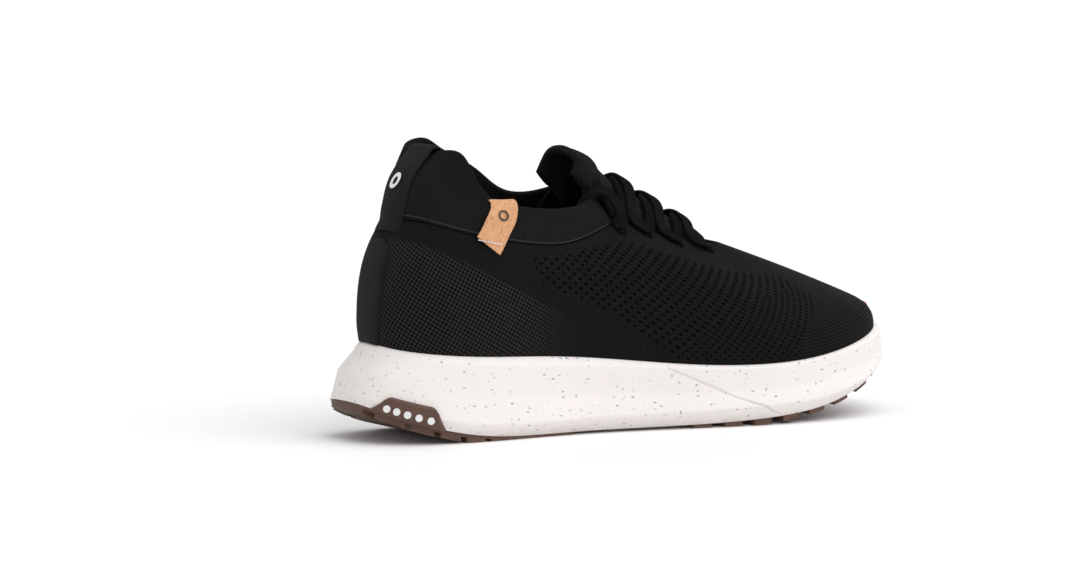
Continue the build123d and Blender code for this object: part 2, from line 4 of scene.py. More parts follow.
import bpy
import numpy as np
from mathutils import Matrix, Vector


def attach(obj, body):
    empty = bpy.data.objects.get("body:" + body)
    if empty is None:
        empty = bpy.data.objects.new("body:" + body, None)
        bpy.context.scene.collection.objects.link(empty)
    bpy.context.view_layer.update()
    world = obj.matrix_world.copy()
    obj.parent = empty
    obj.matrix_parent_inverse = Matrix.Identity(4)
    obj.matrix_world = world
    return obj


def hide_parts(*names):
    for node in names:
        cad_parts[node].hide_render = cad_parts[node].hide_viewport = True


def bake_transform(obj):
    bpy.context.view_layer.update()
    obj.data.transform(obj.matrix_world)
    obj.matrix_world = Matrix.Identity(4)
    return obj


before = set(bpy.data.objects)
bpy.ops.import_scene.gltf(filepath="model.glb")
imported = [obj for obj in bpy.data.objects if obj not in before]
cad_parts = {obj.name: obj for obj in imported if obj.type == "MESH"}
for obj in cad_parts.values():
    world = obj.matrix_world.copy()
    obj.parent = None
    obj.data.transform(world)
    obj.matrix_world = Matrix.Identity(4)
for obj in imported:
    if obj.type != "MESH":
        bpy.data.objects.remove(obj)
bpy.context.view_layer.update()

# The shoe's rows are in millimetres from the back of the heel: +X toe, +Y medial, +Z up.
# Pieces are built there and moved into the frame, in metres, by to_frame.
MM = 0.001
KNIT = 2.2                # thickness of the knit, and of the collar cuff
CUFF = 3.2
LACE = (6.5, 1.5)         # widths and thicknesses of the lace, the side label and the pull loop
LABEL = (14, 0.9)
LOOP = (22, 1.6)
LOOP_LIFT = (1.6, 3.2)    # how far the pull loop's line lies off the collar, at its foot and at the rim
LOOP_BOW = 0.9            # how much further its middle stands off
EYELET_AT = [4.04, 4.63, 5.32, 6.04]
EYELET_UP = 0.93
EYELET_RADIUS = 2.1
TONGUE_DEPTH = 5.6        # how far the tongue's edges lie under the knit, lateral and medial
TONGUE_MEDIAL = 6.8
TONGUE_THICK = 3.5
TONGUE_WIDE = 34
GUSSET = 0.26             # extra width of the tongue below its fold, as a share on each side
TAPE_HALF = 11
TAPE_RISE = (0.122, 0.84)
CLOTH_TOP = 7.6           # height of the insole's cloth over the board

# ---- rows of points ----
ROCKER = [(-8, 24), (14, 13.2), (50, 3.8), (105, 1.4), (160, 1.7), (205, 3.4), (245, 9), (280, 21.5),
          (308, 35)]
FOOTBED = [(0, 31), (60, 29), (120, 27), (160, 22), (205, 20), (245, 23), (300, 34)]
BOTTOM_PLAN = [(1.2, 0), (9.5, -26), (50, -38), (105, -34), (160, -40), (205, -47), (245, -45), (280, -28),
               (296, 8), (286, 32), (258, 45), (218, 50), (170, 45), (115, 33), (58, 35), (10.5, 25)]
FLARE = [(1.5, 0, 23), (9.5, -27, 18.8), (50, -41, 9), (105, -39, 8), (160, -45, 8.5), (205, -52, 10),
         (245, -50, 14), (280, -33, 25), (300, 8, 32), (290, 36, 27), (262, 50, 16), (220, 55, 10.5),
         (170, 50, 9), (115, 38, 8.5), (58, 38, 9), (12.5, 25.5, 19)]
CREASE = [(5, 0, 32.8), (13, -26, 30), (52, -39, 22.2), (105, -37, 19.3), (160, -43, 17.7), (205, -50, 17.3),
          (245, -48, 22.4), (281, -31, 29.6), (299, 8, 36), (289, 35, 31.5), (261, 48, 24), (219, 53, 18.5),
          (169, 48, 19), (115, 36, 20), (60, 36, 22), (15, 25, 30)]
RIM = [(12, 0, 41.3), (19, -25, 39), (54, -38.5, 36), (105, -37, 32.7), (160, -43, 29.3), (205, -50, 27.9),
       (245, -48, 32), (280, -31, 39), (297, 8, 42.5), (288, 34, 40), (260, 48, 34), (218, 53, 30),
       (168, 48, 31.5), (115, 36, 34), (60, 36, 36), (22, 24, 39)]
BITE = [(14.5, 0, 45.4), (21.5, -23, 43), (55, -36, 39.7), (105, -34.5, 37), (160, -41, 31.4),
        (205, -48, 29.6), (244, -46, 33.2), (278, -29, 41.4), (293, 8, 45.5), (284, 32, 43),
        (258, 46, 37), (217, 51, 33), (167, 46, 34.5), (115, 34, 37.5), (60, 34, 39.7), (24.5, 22, 43)]
LOW = [(14.7, 0, 63), (21.5, -25, 62), (56, -38.5, 58), (106, -37, 54), (156, -41, 50), (199, -47, 46),
       (236, -43.5, 48), (268, -26, 54), (283, 7, 57), (274, 28, 56), (246, 43, 52), (207, 50, 50),
       (160, 45, 53), (112, 37, 56), (58, 37, 58), (23, 24, 62)]
HIGH = [(17.6, 0, 83), (24.5, -24, 83), (57, -37, 78), (106, -37, 74), (147, -35, 77), (183, -36, 70),
        (216, -29, 66), (243, -15, 67), (252, 5, 69), (245, 21, 68.5), (220, 32, 69), (187, 39, 73),
        (149, 37, 81), (109, 36, 77), (58, 36, 79), (26, 23, 83)]
EDGE = [(27, 0, 102.5), (33, -19, 101.5), (60, -31, 94), (104, -32.5, 89.5), (135, -21, 97),
        (160, -15.5, 92.5), (184, -13, 87), (201, -9, 84.8), (207, 1, 84.6), (203, 11, 86),
        (186, 15.5, 90.5), (162, 18, 97), (137, 22, 102), (105, 33, 92), (61, 31, 95), (34.5, 20, 102.5)]
COLLAR_AT = [0, 1, 1.4, 2, 2.6, 3, 3.5, 4]
COLLAR_MID = [(131.6, 20, 107.9), (119.6, 27, 104.2), (102.6, 30.8, 101.3), (87, 31.5, 105), (66, 30, 112),
              (48, 25, 118), (38, 18.5, 120), (34.2, 0, 119), (38.5, -17.5, 118.5), (50, -23, 112.5),
              (65, -28, 106), (86, -31, 98.5), (102, -30.5, 97.5), (119, -27, 100), (131, -20, 103)]
COLLAR_TOP = [(127.6, 17.5, 114.1), (116.6, 24.5, 110.5), (101, 28.3, 112), (88, 28.5, 121), (69, 27, 131),
              (56, 25.5, 137), (46, 20.5, 136), (44.8, 0, 132.5), (48, -15.5, 134), (54, -21, 131),
              (64, -25.5, 114.5), (84, -27.3, 106.8), (99, -28, 105.3), (116, -24.5, 106.5),
              (127, -17.5, 109.5)]
STATIONS = len(BITE)
LEVELS = [0, 0.12, 0.36, 0.66, 1]
SIDE_LEVELS = [0, 0.25, 0.65, 1]
TONGUE_UNDER = [(7.3, 0.93), (6.6, 0.91), (5.9, 0.88), (5.2, 0.85), (4.6, 0.83), (4.05, 0.82)]
TONGUE_CREST = [(214, 1, 75), (203.5, 1, 80.5), (188, 1.2, 92.5), (171, 1.5, 102.5), (156, 1.5, 111),
                (143, 1.5, 119)]
TONGUE_TOP = [[(131, -12.5, 106), (134, -11, 118), (134, 1, 126.5), (131, 12, 118.5), (129, 13, 107)],
              [(124, -14, 113), (128.5, -12, 124), (126, 1, 131.5), (123, 13, 123.5), (120, 14, 113)],
              [(117, -13, 122), (121, -9.5, 130.5), (117, 2, 134.5), (115, 11, 129.5), (112, 13.5, 121)]]
# Points and upward directions of the lace's end, along the collar, over its corner and down inside.
TAIL = [((138.6, -21.6, 103), (0.45, -0.8, 0.35)), ((137, -20.7, 107), (0.45, -0.82, 0.32)),
        ((134, -19.6, 111.5), (0.4, -0.85, 0.3)), ((129.5, -18.4, 113.2), (0.2, -0.5, 0.9)),
        ((125.5, -16.6, 111), (-0.5, -0.3, 0.8)), ((121.5, -16.4, 105), (-0.6, -0.9, 0.2)),
        ((117.5, -18, 97.5), (-0.3, -1, 0)), ((115.5, -18.5, 93), (-0.3, -1, 0))]
LOOP_OVER = [(3.1, 1.6), (1.8, 3.2), (-0.8, 3.9), (-3.6, 2.9), (-4.9, 0.2), (-5, -3.5), (-4.8, -10)]
LABEL_RIM = [(2.27, 0.72, CUFF + 1.2), (2.27, 0.9, CUFF + 1.2), (2.27, 1.14, CUFF / 2), (2.26, 1, -1.2),
             (2.22, 0.75, -1.2), (2.17, 0.5, -1.2), (2.12, 0.25, -1.2)]
LABEL_FOOT = [(2.07, 0.985, -1.2), (2.03, 0.92, -1.2)]

# ---- smooth surfaces ----


def spline(points, knots, at, closed=False):
    """Read a natural cubic spline, or a closed one, at the places in `at`."""
    points = np.asarray(points, float)
    knots = np.asarray(knots, float)
    if closed:
        period = knots[-1] - knots[0] + knots[1] - knots[0]
        points = np.concatenate([points[-4:], points, points[:5]])
        knots = np.concatenate([knots[-4:] - period, knots, knots[:5] + period])
    flat = points.reshape(len(knots), -1)
    step = np.diff(knots)
    system = np.eye(len(knots))
    slopes = np.zeros_like(flat)
    for i in range(1, len(step)):
        system[i, i - 1:i + 2] = step[i - 1], 2 * (step[i - 1] + step[i]), step[i]
    slopes[1:-1] = 6 * np.diff(np.diff(flat, axis=0) / step[:, None], axis=0)
    bend = np.linalg.solve(system, slopes)
    at = np.asarray(at, float)
    i = np.clip(np.searchsorted(knots, at, side="right") - 1, 0, len(step) - 1)
    h = step[i][:, None]
    a = (knots[i + 1] - at)[:, None] / h
    b = 1 - a
    value = a * flat[i] + b * flat[i + 1] + ((a**3 - a) * bend[i] + (b**3 - b) * bend[i + 1]) * h**2 / 6
    return value.reshape((len(at),) + points.shape[1:])


def height(profile, x):
    """Height over x of a side profile."""
    profile = np.asarray(profile, float)
    return spline(profile[:, 1:], profile[:, 0], np.ravel(x))[:, 0].reshape(np.shape(x))


def along(rows, knots_u, knots_v, u, v, closed):
    """Points of the surface through the rows, as an array over u and v."""
    columns = spline(np.transpose(rows, (1, 0, 2)), knots_u, u, closed)
    return np.transpose(spline(np.transpose(columns, (1, 0, 2)), knots_v, v), (1, 0, 2))


def normals(surface, u, v, e=0.004):
    """Unit normals of a surface, to its inner side on the upper, the sole's side and the collar."""
    u = np.asarray(u, float)
    v = np.asarray(v, float)
    du = surface(u + e, v) - surface(u - e, v)
    dv = surface(u, v + e) - surface(u, v - e)
    inward = np.cross(dv, du)
    return inward / np.linalg.norm(inward, axis=2, keepdims=True)


def offset(surface, u, v, depth):
    """Points at a depth under a surface, or over it where the depth is negative."""
    return surface(u, v) + depth * normals(surface, u, v)


def spine_of(x, y_front=3, low=45, high=262):
    """Where the foot's middle line is abreast of x."""
    return np.stack([np.clip(x, low, high), np.where(x < 150, 0, y_front)], -1)


def feather_row():
    row = []
    for x, y, _ in BITE:
        toward = spine_of(np.array(x)) - (x, y)
        inside = np.array([x, y]) + 3.5 * toward / np.linalg.norm(toward)
        row.append((*inside, height(FOOTBED, inside[0]) + 0.6))
    return row


BOTTOM = [(x, y, float(height(ROCKER, x))) for x, y in BOTTOM_PLAN]
UPPER_ROWS = np.array([feather_row(), BITE, LOW, HIGH, EDGE])
SIDE_ROWS = np.array([BOTTOM, FLARE, CREASE, RIM])


def upper(u, v):
    return along(UPPER_ROWS, np.arange(STATIONS), LEVELS, np.mod(u, STATIONS), v, True)


def side(u, v):
    return along(SIDE_ROWS, np.arange(STATIONS), SIDE_LEVELS, np.mod(u, STATIONS), v, True)


COLLAR_KNOTS = [-k for k in COLLAR_AT[:0:-1]] + COLLAR_AT
COLLAR_ROWS = np.array([upper(COLLAR_KNOTS, [1])[:, 0] + (0, 0, 1), COLLAR_MID, COLLAR_TOP])


def collar(u, v):
    return along(COLLAR_ROWS, COLLAR_KNOTS, [0, 0.5, 1], u, v, False)


def opposite(u):
    return STATIONS - u


def tongue_rows():
    rows = []
    for (u, v), crest in zip(TONGUE_UNDER, TONGUE_CREST):
        lateral = offset(upper, [u], [v, v + 0.06], TONGUE_DEPTH)[0]
        medial = offset(upper, [opposite(u)], [v + 0.06, v], TONGUE_MEDIAL)[0]
        rows.append([*lateral, np.array(crest), *medial])
    return np.array(rows + [[np.array(p, float) for p in row] for row in TONGUE_TOP])


TONGUE_ROWS = tongue_rows()


def tongue(u, v):
    """The tongue's outer face: u counts its rows and v runs across it."""
    columns = spline(TONGUE_ROWS, np.arange(len(TONGUE_ROWS)), u)
    return np.transpose(spline(np.transpose(columns, (1, 0, 2)), np.linspace(0, 1, 5), v), (1, 0, 2))


def frame_origin():
    """The middle of the sole's outline, which is the frame's origin."""
    grid = side(np.linspace(0, STATIONS, 321), np.linspace(0, 1, 41))
    middle = (grid.min(axis=(0, 1)) + grid.max(axis=(0, 1))) / 2
    return np.array([middle[0], middle[1], 0])


ORIGIN = frame_origin()


def to_frame(points):
    return (np.asarray(points, float) - ORIGIN) * MM


def smooth(low, high, value):
    t = np.clip((value - low) / (high - low), 0, 1)
    return t * t * (3 - 2 * t)


def new_object(name, data):
    made = bpy.data.objects.new(name, data)
    bpy.context.scene.collection.objects.link(made)
    return made


# ---- camera ----
AZIMUTH = math.radians(-30)
ELEVATION = math.radians(5.2)
DISTANCE = 2.3
LENS = 159.9
TARGET = (150, 0, 55)
SLIDE = (-0.0369, 0.0079)      # the camera's shift to its right and up, in metres


def make_camera():
    """Camera that looks at the lateral side from behind, level with the collar."""
    back = Vector((math.sin(AZIMUTH) * math.cos(ELEVATION), -math.cos(AZIMUTH) * math.cos(ELEVATION),
                   math.sin(ELEVATION)))
    right = Vector((math.cos(AZIMUTH), math.sin(AZIMUTH), 0))
    up = back.cross(right)
    data = bpy.data.cameras.new("camera")
    data.lens = LENS
    data.sensor_width = 36
    camera = new_object("camera", data)
    target = Vector(to_frame(TARGET))
    camera.rotation_mode = "QUATERNION"
    camera.rotation_quaternion = Matrix((right, up, back)).transposed().to_quaternion()
    camera.location = target + back * DISTANCE + right * SLIDE[0] + up * SLIDE[1]
    data.clip_end = 20
    bpy.context.scene.camera = camera


make_camera()

# ---- shader graphs ----


class Graph:
    """Short names for building a material's nodes."""

    def __init__(self, name):
        self.material = bpy.data.materials.new(name)
        self.material.use_nodes = True
        self.tree = self.material.node_tree
        self.shader = self.tree.nodes["Principled BSDF"]

    def node(self, kind, inputs=None, **settings):
        made = self.tree.nodes.new("ShaderNode" + kind)
        for key, value in settings.items():
            setattr(made, key, value)
        for key, value in (inputs or {}).items():
            self.feed(made.inputs[key], value)
        return made

    def feed(self, socket, value):
        if isinstance(value, bpy.types.NodeSocket):
            self.tree.links.new(value, socket)
        else:
            socket.default_value = value

    def math(self, operation, a, b=0.0, c=0.0):
        made = self.tree.nodes.new("ShaderNodeMath")
        made.operation = operation
        for socket, value in zip(made.inputs, (a, b, c)):
            self.feed(socket, value)
        return made.outputs[0]

    def add(self, *terms):
        return reduce(lambda a, b: self.math("ADD", a, b), terms)

    def times(self, *factors):
        return reduce(lambda a, b: self.math("MULTIPLY", a, b), factors)

    def scaled(self, value, factor, shift):
        return self.math("MULTIPLY_ADD", value, factor, shift)

    def wave(self, value, pitch):
        """Sine of a length, one turn to each pitch."""
        return self.math("SINE", self.times(value, 2 * math.pi / pitch))

    def step(self, value, low, high):
        made = self.node("MapRange", {"Value": value, "From Min": low, "From Max": high},
                         interpolation_type="SMOOTHSTEP")
        return made.outputs[0]

    def mix(self, factor, a, b):
        made = self.node("Mix", data_type="RGBA")
        self.feed(made.inputs[0], factor)
        self.feed(made.inputs[6], a)
        self.feed(made.inputs[7], b)
        return made.outputs[2]

    def parts(self, vector):
        return self.node("SeparateXYZ", {0: vector}).outputs

    def field(self, name):
        """The three parts of a field that a mesh carries."""
        return self.parts(self.node("Attribute", attribute_name=name).outputs["Vector"])

    def position(self, scale=1000.0):
        """Place in the frame in millimetres."""
        place = self.node("TexCoord").outputs["Object"]
        made = self.node("VectorMath", {0: place}, operation="SCALE")
        made.inputs["Scale"].default_value = scale
        return made.outputs[0]

    def noise(self, vector, scale, detail=2.0):
        return self.node("TexNoise", {"Vector": vector, "Scale": scale, "Detail": detail}).outputs[0]

    def bump(self, relief, distance, strength):
        return self.node("Bump", {"Height": relief, "Distance": distance, "Strength": strength}).outputs[0]

    def finish(self, colour, roughness, normal=None, **constants):
        self.feed(self.shader.inputs["Base Color"], colour)
        self.feed(self.shader.inputs["Roughness"], roughness)
        if normal is not None:
            self.tree.links.new(normal, self.shader.inputs["Normal"])
        for key, value in constants.items():
            self.shader.inputs[key.replace("_", " ")].default_value = value
        return self.material


def grey(value, warm=0.0):
    return (value * (1 + warm), value, value * (1 - 1.3 * warm), 1)


# ---- materials ----
SHEEN = 0.015
MATT = 0.07      # reflection of black cloth, far under a plastic's 0.5


def knit_material():
    """Black knit: coarse basket, fine stitch, open holes and ribs, each in its own zone."""
    g = Graph("black_knit")
    place = g.field("knit")
    zone = g.field("zone")
    more = g.field("zone_more")
    s, h = place[0], place[1]
    coarse, large, small = zone[0], zone[1], zone[2]
    band, ribs, pit = more[0], more[1], more[2]
    wobble = g.noise(g.node("CombineXYZ", {0: s, 1: h}).outputs[0], 0.35)
    sway = g.times(g.add(wobble, -0.5), 0.5)
    a = g.add(g.times(s, BASKET_COS), g.times(h, BASKET_SIN), sway)
    b = g.add(g.times(h, BASKET_COS), g.times(s, -BASKET_SIN), sway)
    basket = g.times(g.wave(a, 2 * BASKET), g.wave(b, 2 * BASKET))
    fine = g.times(g.wave(g.add(s, sway), 1.0), g.wave(h, 0.9))
    bars = g.wave(g.add(h, g.times(s, 0.25)), 1.1)
    hole_large = g.step(g.times(g.wave(g.add(s, sway), LARGE[0]), g.wave(h, 2 * LARGE[1])), 0.3, 0.7)
    hole_small = g.step(g.times(g.wave(g.add(s, sway), SMALL[0]), g.wave(h, 2 * SMALL[1])), 0.3, 0.7)
    hole = g.math("MAXIMUM", g.times(large, hole_large), g.times(small, hole_small))
    lean = g.wave(g.add(g.times(h, 0.87), g.times(s, 0.5)), 1.5)
    rows = g.wave(g.add(h, sway), 1.7)
    open_knit = g.math("MAXIMUM", large, small)
    plain = g.math("SUBTRACT", 1.0, g.math("MAXIMUM", coarse, open_knit))
    relief = g.add(g.times(basket, coarse, 0.8), g.times(fine, plain, 0.3), g.times(bars, open_knit, 0.3),
                   g.times(lean, band, 0.3), g.times(rows, ribs, 0.35), g.times(hole, -1.4))
    fuzz = g.noise(g.position(), 2.2, 4.0)
    # painted highlight on the raised yarn and painted shade in the gaps between, over a random fuzz
    shade = g.add(g.scaled(relief, 0.8, 0.13), g.times(fuzz, 0.4))
    # painted shade inside the punched eyelets
    shade = g.math("SUBTRACT", shade, g.times(pit, 1.2))
    # painted shade in the open knit's holes
    shade = g.math("SUBTRACT", shade, g.times(hole, 0.5))
    lifted = g.scaled(coarse, 0.6, 0.5)
    ramp = g.node("Mix", data_type="RGBA", clamp_factor=True)
    g.feed(ramp.inputs[0], g.times(shade, lifted))
    g.feed(ramp.inputs[6], grey(0.001))
    g.feed(ramp.inputs[7], grey(0.030, 0.02))
    normal = g.bump(relief, 0.0005, 0.9)
    return g.finish(ramp.outputs[2], 0.8, normal, Sheen_Weight=SHEEN, Sheen_Roughness=0.5,
                    Specular_IOR_Level=MATT)


def rib_material(name, pitch, dark, light):
    """Fine knit whose ribs run up the piece: the first part of `knit` runs round it."""
    g = Graph(name)
    place = g.field("knit")
    rib = g.wave(place[0], pitch)
    stitch = g.wave(g.add(place[1], g.times(rib, 0.2)), 0.85)
    relief = g.add(g.times(rib, 0.6), g.times(stitch, 0.4))
    fuzz = g.noise(g.position(), 1.6, 4.0)
    # colour: painted highlight on the raised ribs and stitches and painted shade between them, over a random
    # fuzz
    shade = g.add(g.scaled(relief, 0.5, 0.3), g.times(fuzz, 0.5))
    colour = g.mix(shade, dark, light)
    normal = g.bump(relief, 0.0004, 0.8)
    return g.finish(colour, 0.8, normal, Sheen_Weight=SHEEN, Sheen_Roughness=0.5,
                    Specular_IOR_Level=MATT)


def braid_material():
    """Flat lace: ridges along it, crossed by fine slanted yarns."""
    g = Graph("lace_braid")
    place = g.field("knit")
    ridge = g.wave(place[1], 1.3)
    yarn = g.wave(g.add(place[0], g.times(ridge, 0.35)), 0.9)
    relief = g.add(g.times(ridge, 0.7), g.times(yarn, 0.35))
    fuzz = g.noise(g.position(), 2.0, 3.0)
    # colour: painted highlight on the raised ridges and yarns and painted shade between them, over a random
    # fuzz
    shade = g.add(g.scaled(relief, 0.4, 0.35), g.times(fuzz, 0.3))
    colour = g.mix(shade, grey(0.0008), grey(0.0085))
    normal = g.bump(relief, 0.0003, 0.7)
    return g.finish(colour, 0.75, normal, Sheen_Weight=SHEEN, Sheen_Roughness=0.45, Specular_IOR_Level=0.05)


def webbing_material():
    """Woven tape: a fine twill with a soft sheen."""
    g = Graph("webbing")
    place = g.field("knit")
    twill = g.wave(g.add(place[0], place[1]), 0.9)
    weft = g.wave(place[0], 0.55)
    relief = g.add(g.times(twill, 0.5), g.times(weft, 0.5))
    fuzz = g.noise(g.position(), 1.5, 4.0)
    # colour: painted highlight on the raised twill and weft and painted shade between them, over a random
    # fuzz
    shade = g.add(g.scaled(relief, 0.28, 0.25), g.times(fuzz, 0.6))
    colour = g.mix(shade, grey(0.002), grey(0.022))
    normal = g.bump(relief, 0.00025, 0.7)
    return g.finish(colour, 0.75, normal, Sheen_Weight=0.02, Sheen_Roughness=0.4, Specular_IOR_Level=0.08)


def foam_material():
    """Warm white foam with sparse grey and blue flecks, darker and browner in patches near its lower edge."""
    g = Graph("speckled_foam")
    place = g.position()
    colour = (0.835, 0.79, 0.765, 1)
    patches = g.noise(place, 0.05, 3.0)
    colour = g.mix(g.times(patches, 0.4), colour, (0.78, 0.725, 0.70, 1))
    for scale, size, tone, share, stretch in ((0.42, 0.27, (0.34, 0.35, 0.39, 1), 0.5, (0.5, 1, 1)),
                                              (0.60, 0.22, (0.42, 0.40, 0.38, 1), 0.5, (1, 1, 0.55)),
                                              (0.28, 0.20, (0.22, 0.23, 0.26, 1), 0.6, (0.8, 0.8, 0.5))):
        stretched = g.node("Mapping", {"Vector": place, "Scale": stretch}).outputs[0]
        cells = g.node("TexVoronoi", {"Vector": stretched, "Scale": scale, "Randomness": 1.0})
        wander = g.noise(place, 1.1, 2.0)
        inside = g.math("LESS_THAN", g.add(cells.outputs["Distance"], g.times(wander, 0.16)), size)
        chosen = g.math("GREATER_THAN", g.parts(cells.outputs["Color"])[0], share)
        soft = g.add(0.25, g.times(g.parts(cells.outputs["Color"])[1], 0.7))
        colour = g.mix(g.times(inside, chosen, soft), colour, tone)
    # darker, browner patches over the lowest few millimetres of the foam
    low = g.step(g.parts(place)[2], 9.0, 1.0)
    low_darkening = g.times(low, g.noise(place, 0.25, 4.0), 0.5)
    colour = g.mix(low_darkening, colour, (0.42, 0.36, 0.31, 1))
    grain = g.add(g.noise(place, 1.2, 4.0), g.times(g.noise(place, 5.0, 2.0), 0.4))
    normal = g.bump(grain, 0.00012, 0.6)
    roughness = g.scaled(patches, 0.15, 0.5)
    return g.finish(colour, roughness, normal, Specular_IOR_Level=0.35, Subsurface_Weight=0.05,
                    Subsurface_Scale=0.002)


def rubber_material():
    """Brown rubber, dusty on its treads."""
    g = Graph("brown_rubber")
    place = g.position()
    broad = g.noise(place, 0.08, 4.0)
    fine = g.noise(place, 1.4, 5.0)
    colour = g.mix(broad, (0.080, 0.040, 0.027, 1), (0.125, 0.064, 0.044, 1))
    worn = g.step(g.parts(place)[2], 2.2, 0.0)
    colour = g.mix(g.times(worn, g.step(fine, 0.4, 0.7), 0.6), colour, (0.22, 0.15, 0.115, 1))
    normal = g.bump(fine, 0.00015, 0.6)
    roughness = g.scaled(fine, 0.3, 0.42)
    return g.finish(colour, roughness, normal, Specular_IOR_Level=0.4)


def cork_material():
    """Tan cork sheet with fine dark flecks."""
    g = Graph("cork_sheet")
    place = g.position()
    cells = g.node("TexVoronoi", {"Vector": place, "Scale": 0.9})
    tone = g.parts(cells.outputs["Color"])
    colour = g.mix(tone[0], (0.60, 0.30, 0.145, 1), (0.72, 0.40, 0.215, 1))
    flecks = g.node("TexVoronoi", {"Vector": place, "Scale": 0.7})
    inside = g.math("LESS_THAN", flecks.outputs["Distance"], 0.26)
    chosen = g.math("GREATER_THAN", g.parts(flecks.outputs["Color"])[0], 0.72)
    colour = g.mix(g.times(inside, chosen, 0.8), colour, (0.20, 0.085, 0.04, 1))
    streak = g.noise(g.node("Mapping", {"Vector": place, "Scale": (1, 1, 0.3)}).outputs[0], 0.9, 3.0)
    colour = g.mix(g.times(streak, 0.35), colour, (0.44, 0.20, 0.10, 1))
    normal = g.bump(g.add(flecks.outputs["Distance"], streak), 0.0001, 0.6)
    return g.finish(colour, 0.6, normal, Specular_IOR_Level=0.3)


def cloth_material(name, dark, light, pitch=0.8, sheen=SHEEN):
    """Plain woven or pressed cloth in the frame's own directions."""
    g = Graph(name)
    place = g.position()
    x, y, z = g.parts(place)[:3]
    warp = g.wave(g.add(x, g.times(z, 0.6)), pitch)
    weft = g.wave(g.add(y, z), pitch)
    relief = g.times(warp, weft)
    fuzz = g.noise(place, 1.5, 4.0)
    # colour: painted highlight on the raised weave and painted shade between, over a random fuzz
    colour = g.mix(g.add(g.scaled(relief, 0.3, 0.2), g.times(fuzz, 0.6)), dark, light)
    return g.finish(colour, 0.85, g.bump(relief, 0.0002, 0.5), Sheen_Weight=sheen, Specular_IOR_Level=MATT)


def solid_material(name, dark, light, roughness, grain=1.0, depth=0.00008):
    """Moulded or printed surface with a faint mottle."""
    g = Graph(name)
    place = g.position()
    fine = g.noise(place, grain, 4.0)
    colour = g.mix(fine, dark, light)
    rough = g.scaled(fine, 0.2, roughness - 0.1)
    return g.finish(colour, rough, g.bump(fine, depth, 0.6), Specular_IOR_Level=0.4)


BASKET = 1.28
BASKET_ANGLE = math.radians(20)
BASKET_COS = math.cos(BASKET_ANGLE)
BASKET_SIN = math.sin(BASKET_ANGLE)
LARGE = (6.4, 2.25)      # pitch along the shoe, and height between staggered rows, of the open knit
SMALL = (4.6, 1.85)

MATERIALS = {
    "knit": knit_material(),
    "cuff": rib_material("cuff_rib", 1.15, grey(0.001), grey(0.0175, 0.02)),
    "tongue": rib_material("tongue_knit", 1.1, grey(0.001), grey(0.013)),
    "lining": cloth_material("lining_knit", grey(0.001), grey(0.009)),
    "braid": braid_material(),
    "webbing": webbing_material(),
    "foam": foam_material(),
    "rubber": rubber_material(),
    "cork": cork_material(),
    "board": cloth_material("fibre_board", grey(0.35, 0.05), grey(0.5, 0.05), 1.4, 0.0),
    "stay": cloth_material("bonded_tape", grey(0.002), grey(0.01), 0.6),
    "counter": solid_material("heel_sheet", grey(0.01), grey(0.03), 0.6),
    "thread": solid_material("light_thread", grey(0.03), grey(0.07), 0.7, 2.0),
    "pale_thread": solid_material("pale_thread", grey(0.55), grey(0.8), 0.7, 2.0),
    "film": solid_material("lace_film", grey(0.008), grey(0.02), 0.25),
    "ink": solid_material("white_ink", grey(0.72), grey(0.86), 0.5),
    "dark_ink": solid_material("dark_ink", (0.035, 0.018, 0.01, 1), (0.06, 0.03, 0.018, 1), 0.5)}

# ---- meshes ----


def mesh_object(name, vertices, faces, material, fields=None, is_smooth=True):
    """New object from arrays in millimetres, with vector fields on its points."""
    mesh = bpy.data.meshes.new(name)
    vertices = to_frame(vertices)
    mesh.from_pydata(vertices.tolist(), [], faces.tolist() if hasattr(faces, "tolist") else faces)
    for key, values in (fields or {}).items():
        attribute = mesh.attributes.new(key, "FLOAT_VECTOR", "POINT")
        attribute.data.foreach_set("vector", np.asarray(values, np.float32).ravel())
    mesh.polygons.foreach_set("use_smooth", [is_smooth] * len(mesh.polygons))
    mesh.materials.append(MATERIALS[material])
    mesh.update()
    return new_object(name, mesh)


def loop_faces(count, size, closed):
    """Quads between cross-section loops; open rows of loops get paired strips at their ends."""
    index = np.arange(count * size).reshape(count, size)
    ahead = np.roll(index, -1, axis=0) if closed else index[1:]
    behind = index if closed else index[:-1]
    beside = np.roll(behind, -1, axis=1)
    faces = np.stack([behind, beside, np.roll(ahead, -1, axis=1), ahead], -1).reshape(-1, 4)
    if not closed:
        half = size // 2
        first = np.arange(half - 1)
        for row, order in ((index[0], 1), (index[-1], -1)):
            cap = np.stack([row[first], row[size - 1 - first], row[size - 2 - first], row[first + 1]], -1)
            faces = np.concatenate([faces, cap[:, ::order]])
    return faces


def sheet_faces(loops):
    """Quads of a closed round of open loops."""
    index = np.arange(loops.shape[0] * loops.shape[1]).reshape(loops.shape[:2])
    ahead = np.roll(index, -1, axis=0)
    return np.stack([index[:, :-1], ahead[:, :-1], ahead[:, 1:], index[:, 1:]], -1).reshape(-1, 4)


def knit_field(loops, first, second):
    """Field with lengths along and across a knitted or woven piece, which its material reads."""
    place = np.zeros(loops.shape)
    place[..., 0] = first
    place[..., 1] = second
    return {"knit": place}


def tube(name, loops, material, closed=False, fields=None, flip=False):
    """Closed body from its cross-section loops, an array of loops by points by 3."""
    count, size = loops.shape[:2]
    faces = loop_faces(count, size, closed)
    if flip:
        faces = faces[:, ::-1]
    flat = {k: np.asarray(v).reshape(-1, 3) for k, v in (fields or {}).items()}
    return mesh_object(name, loops.reshape(-1, 3), faces, material, flat)


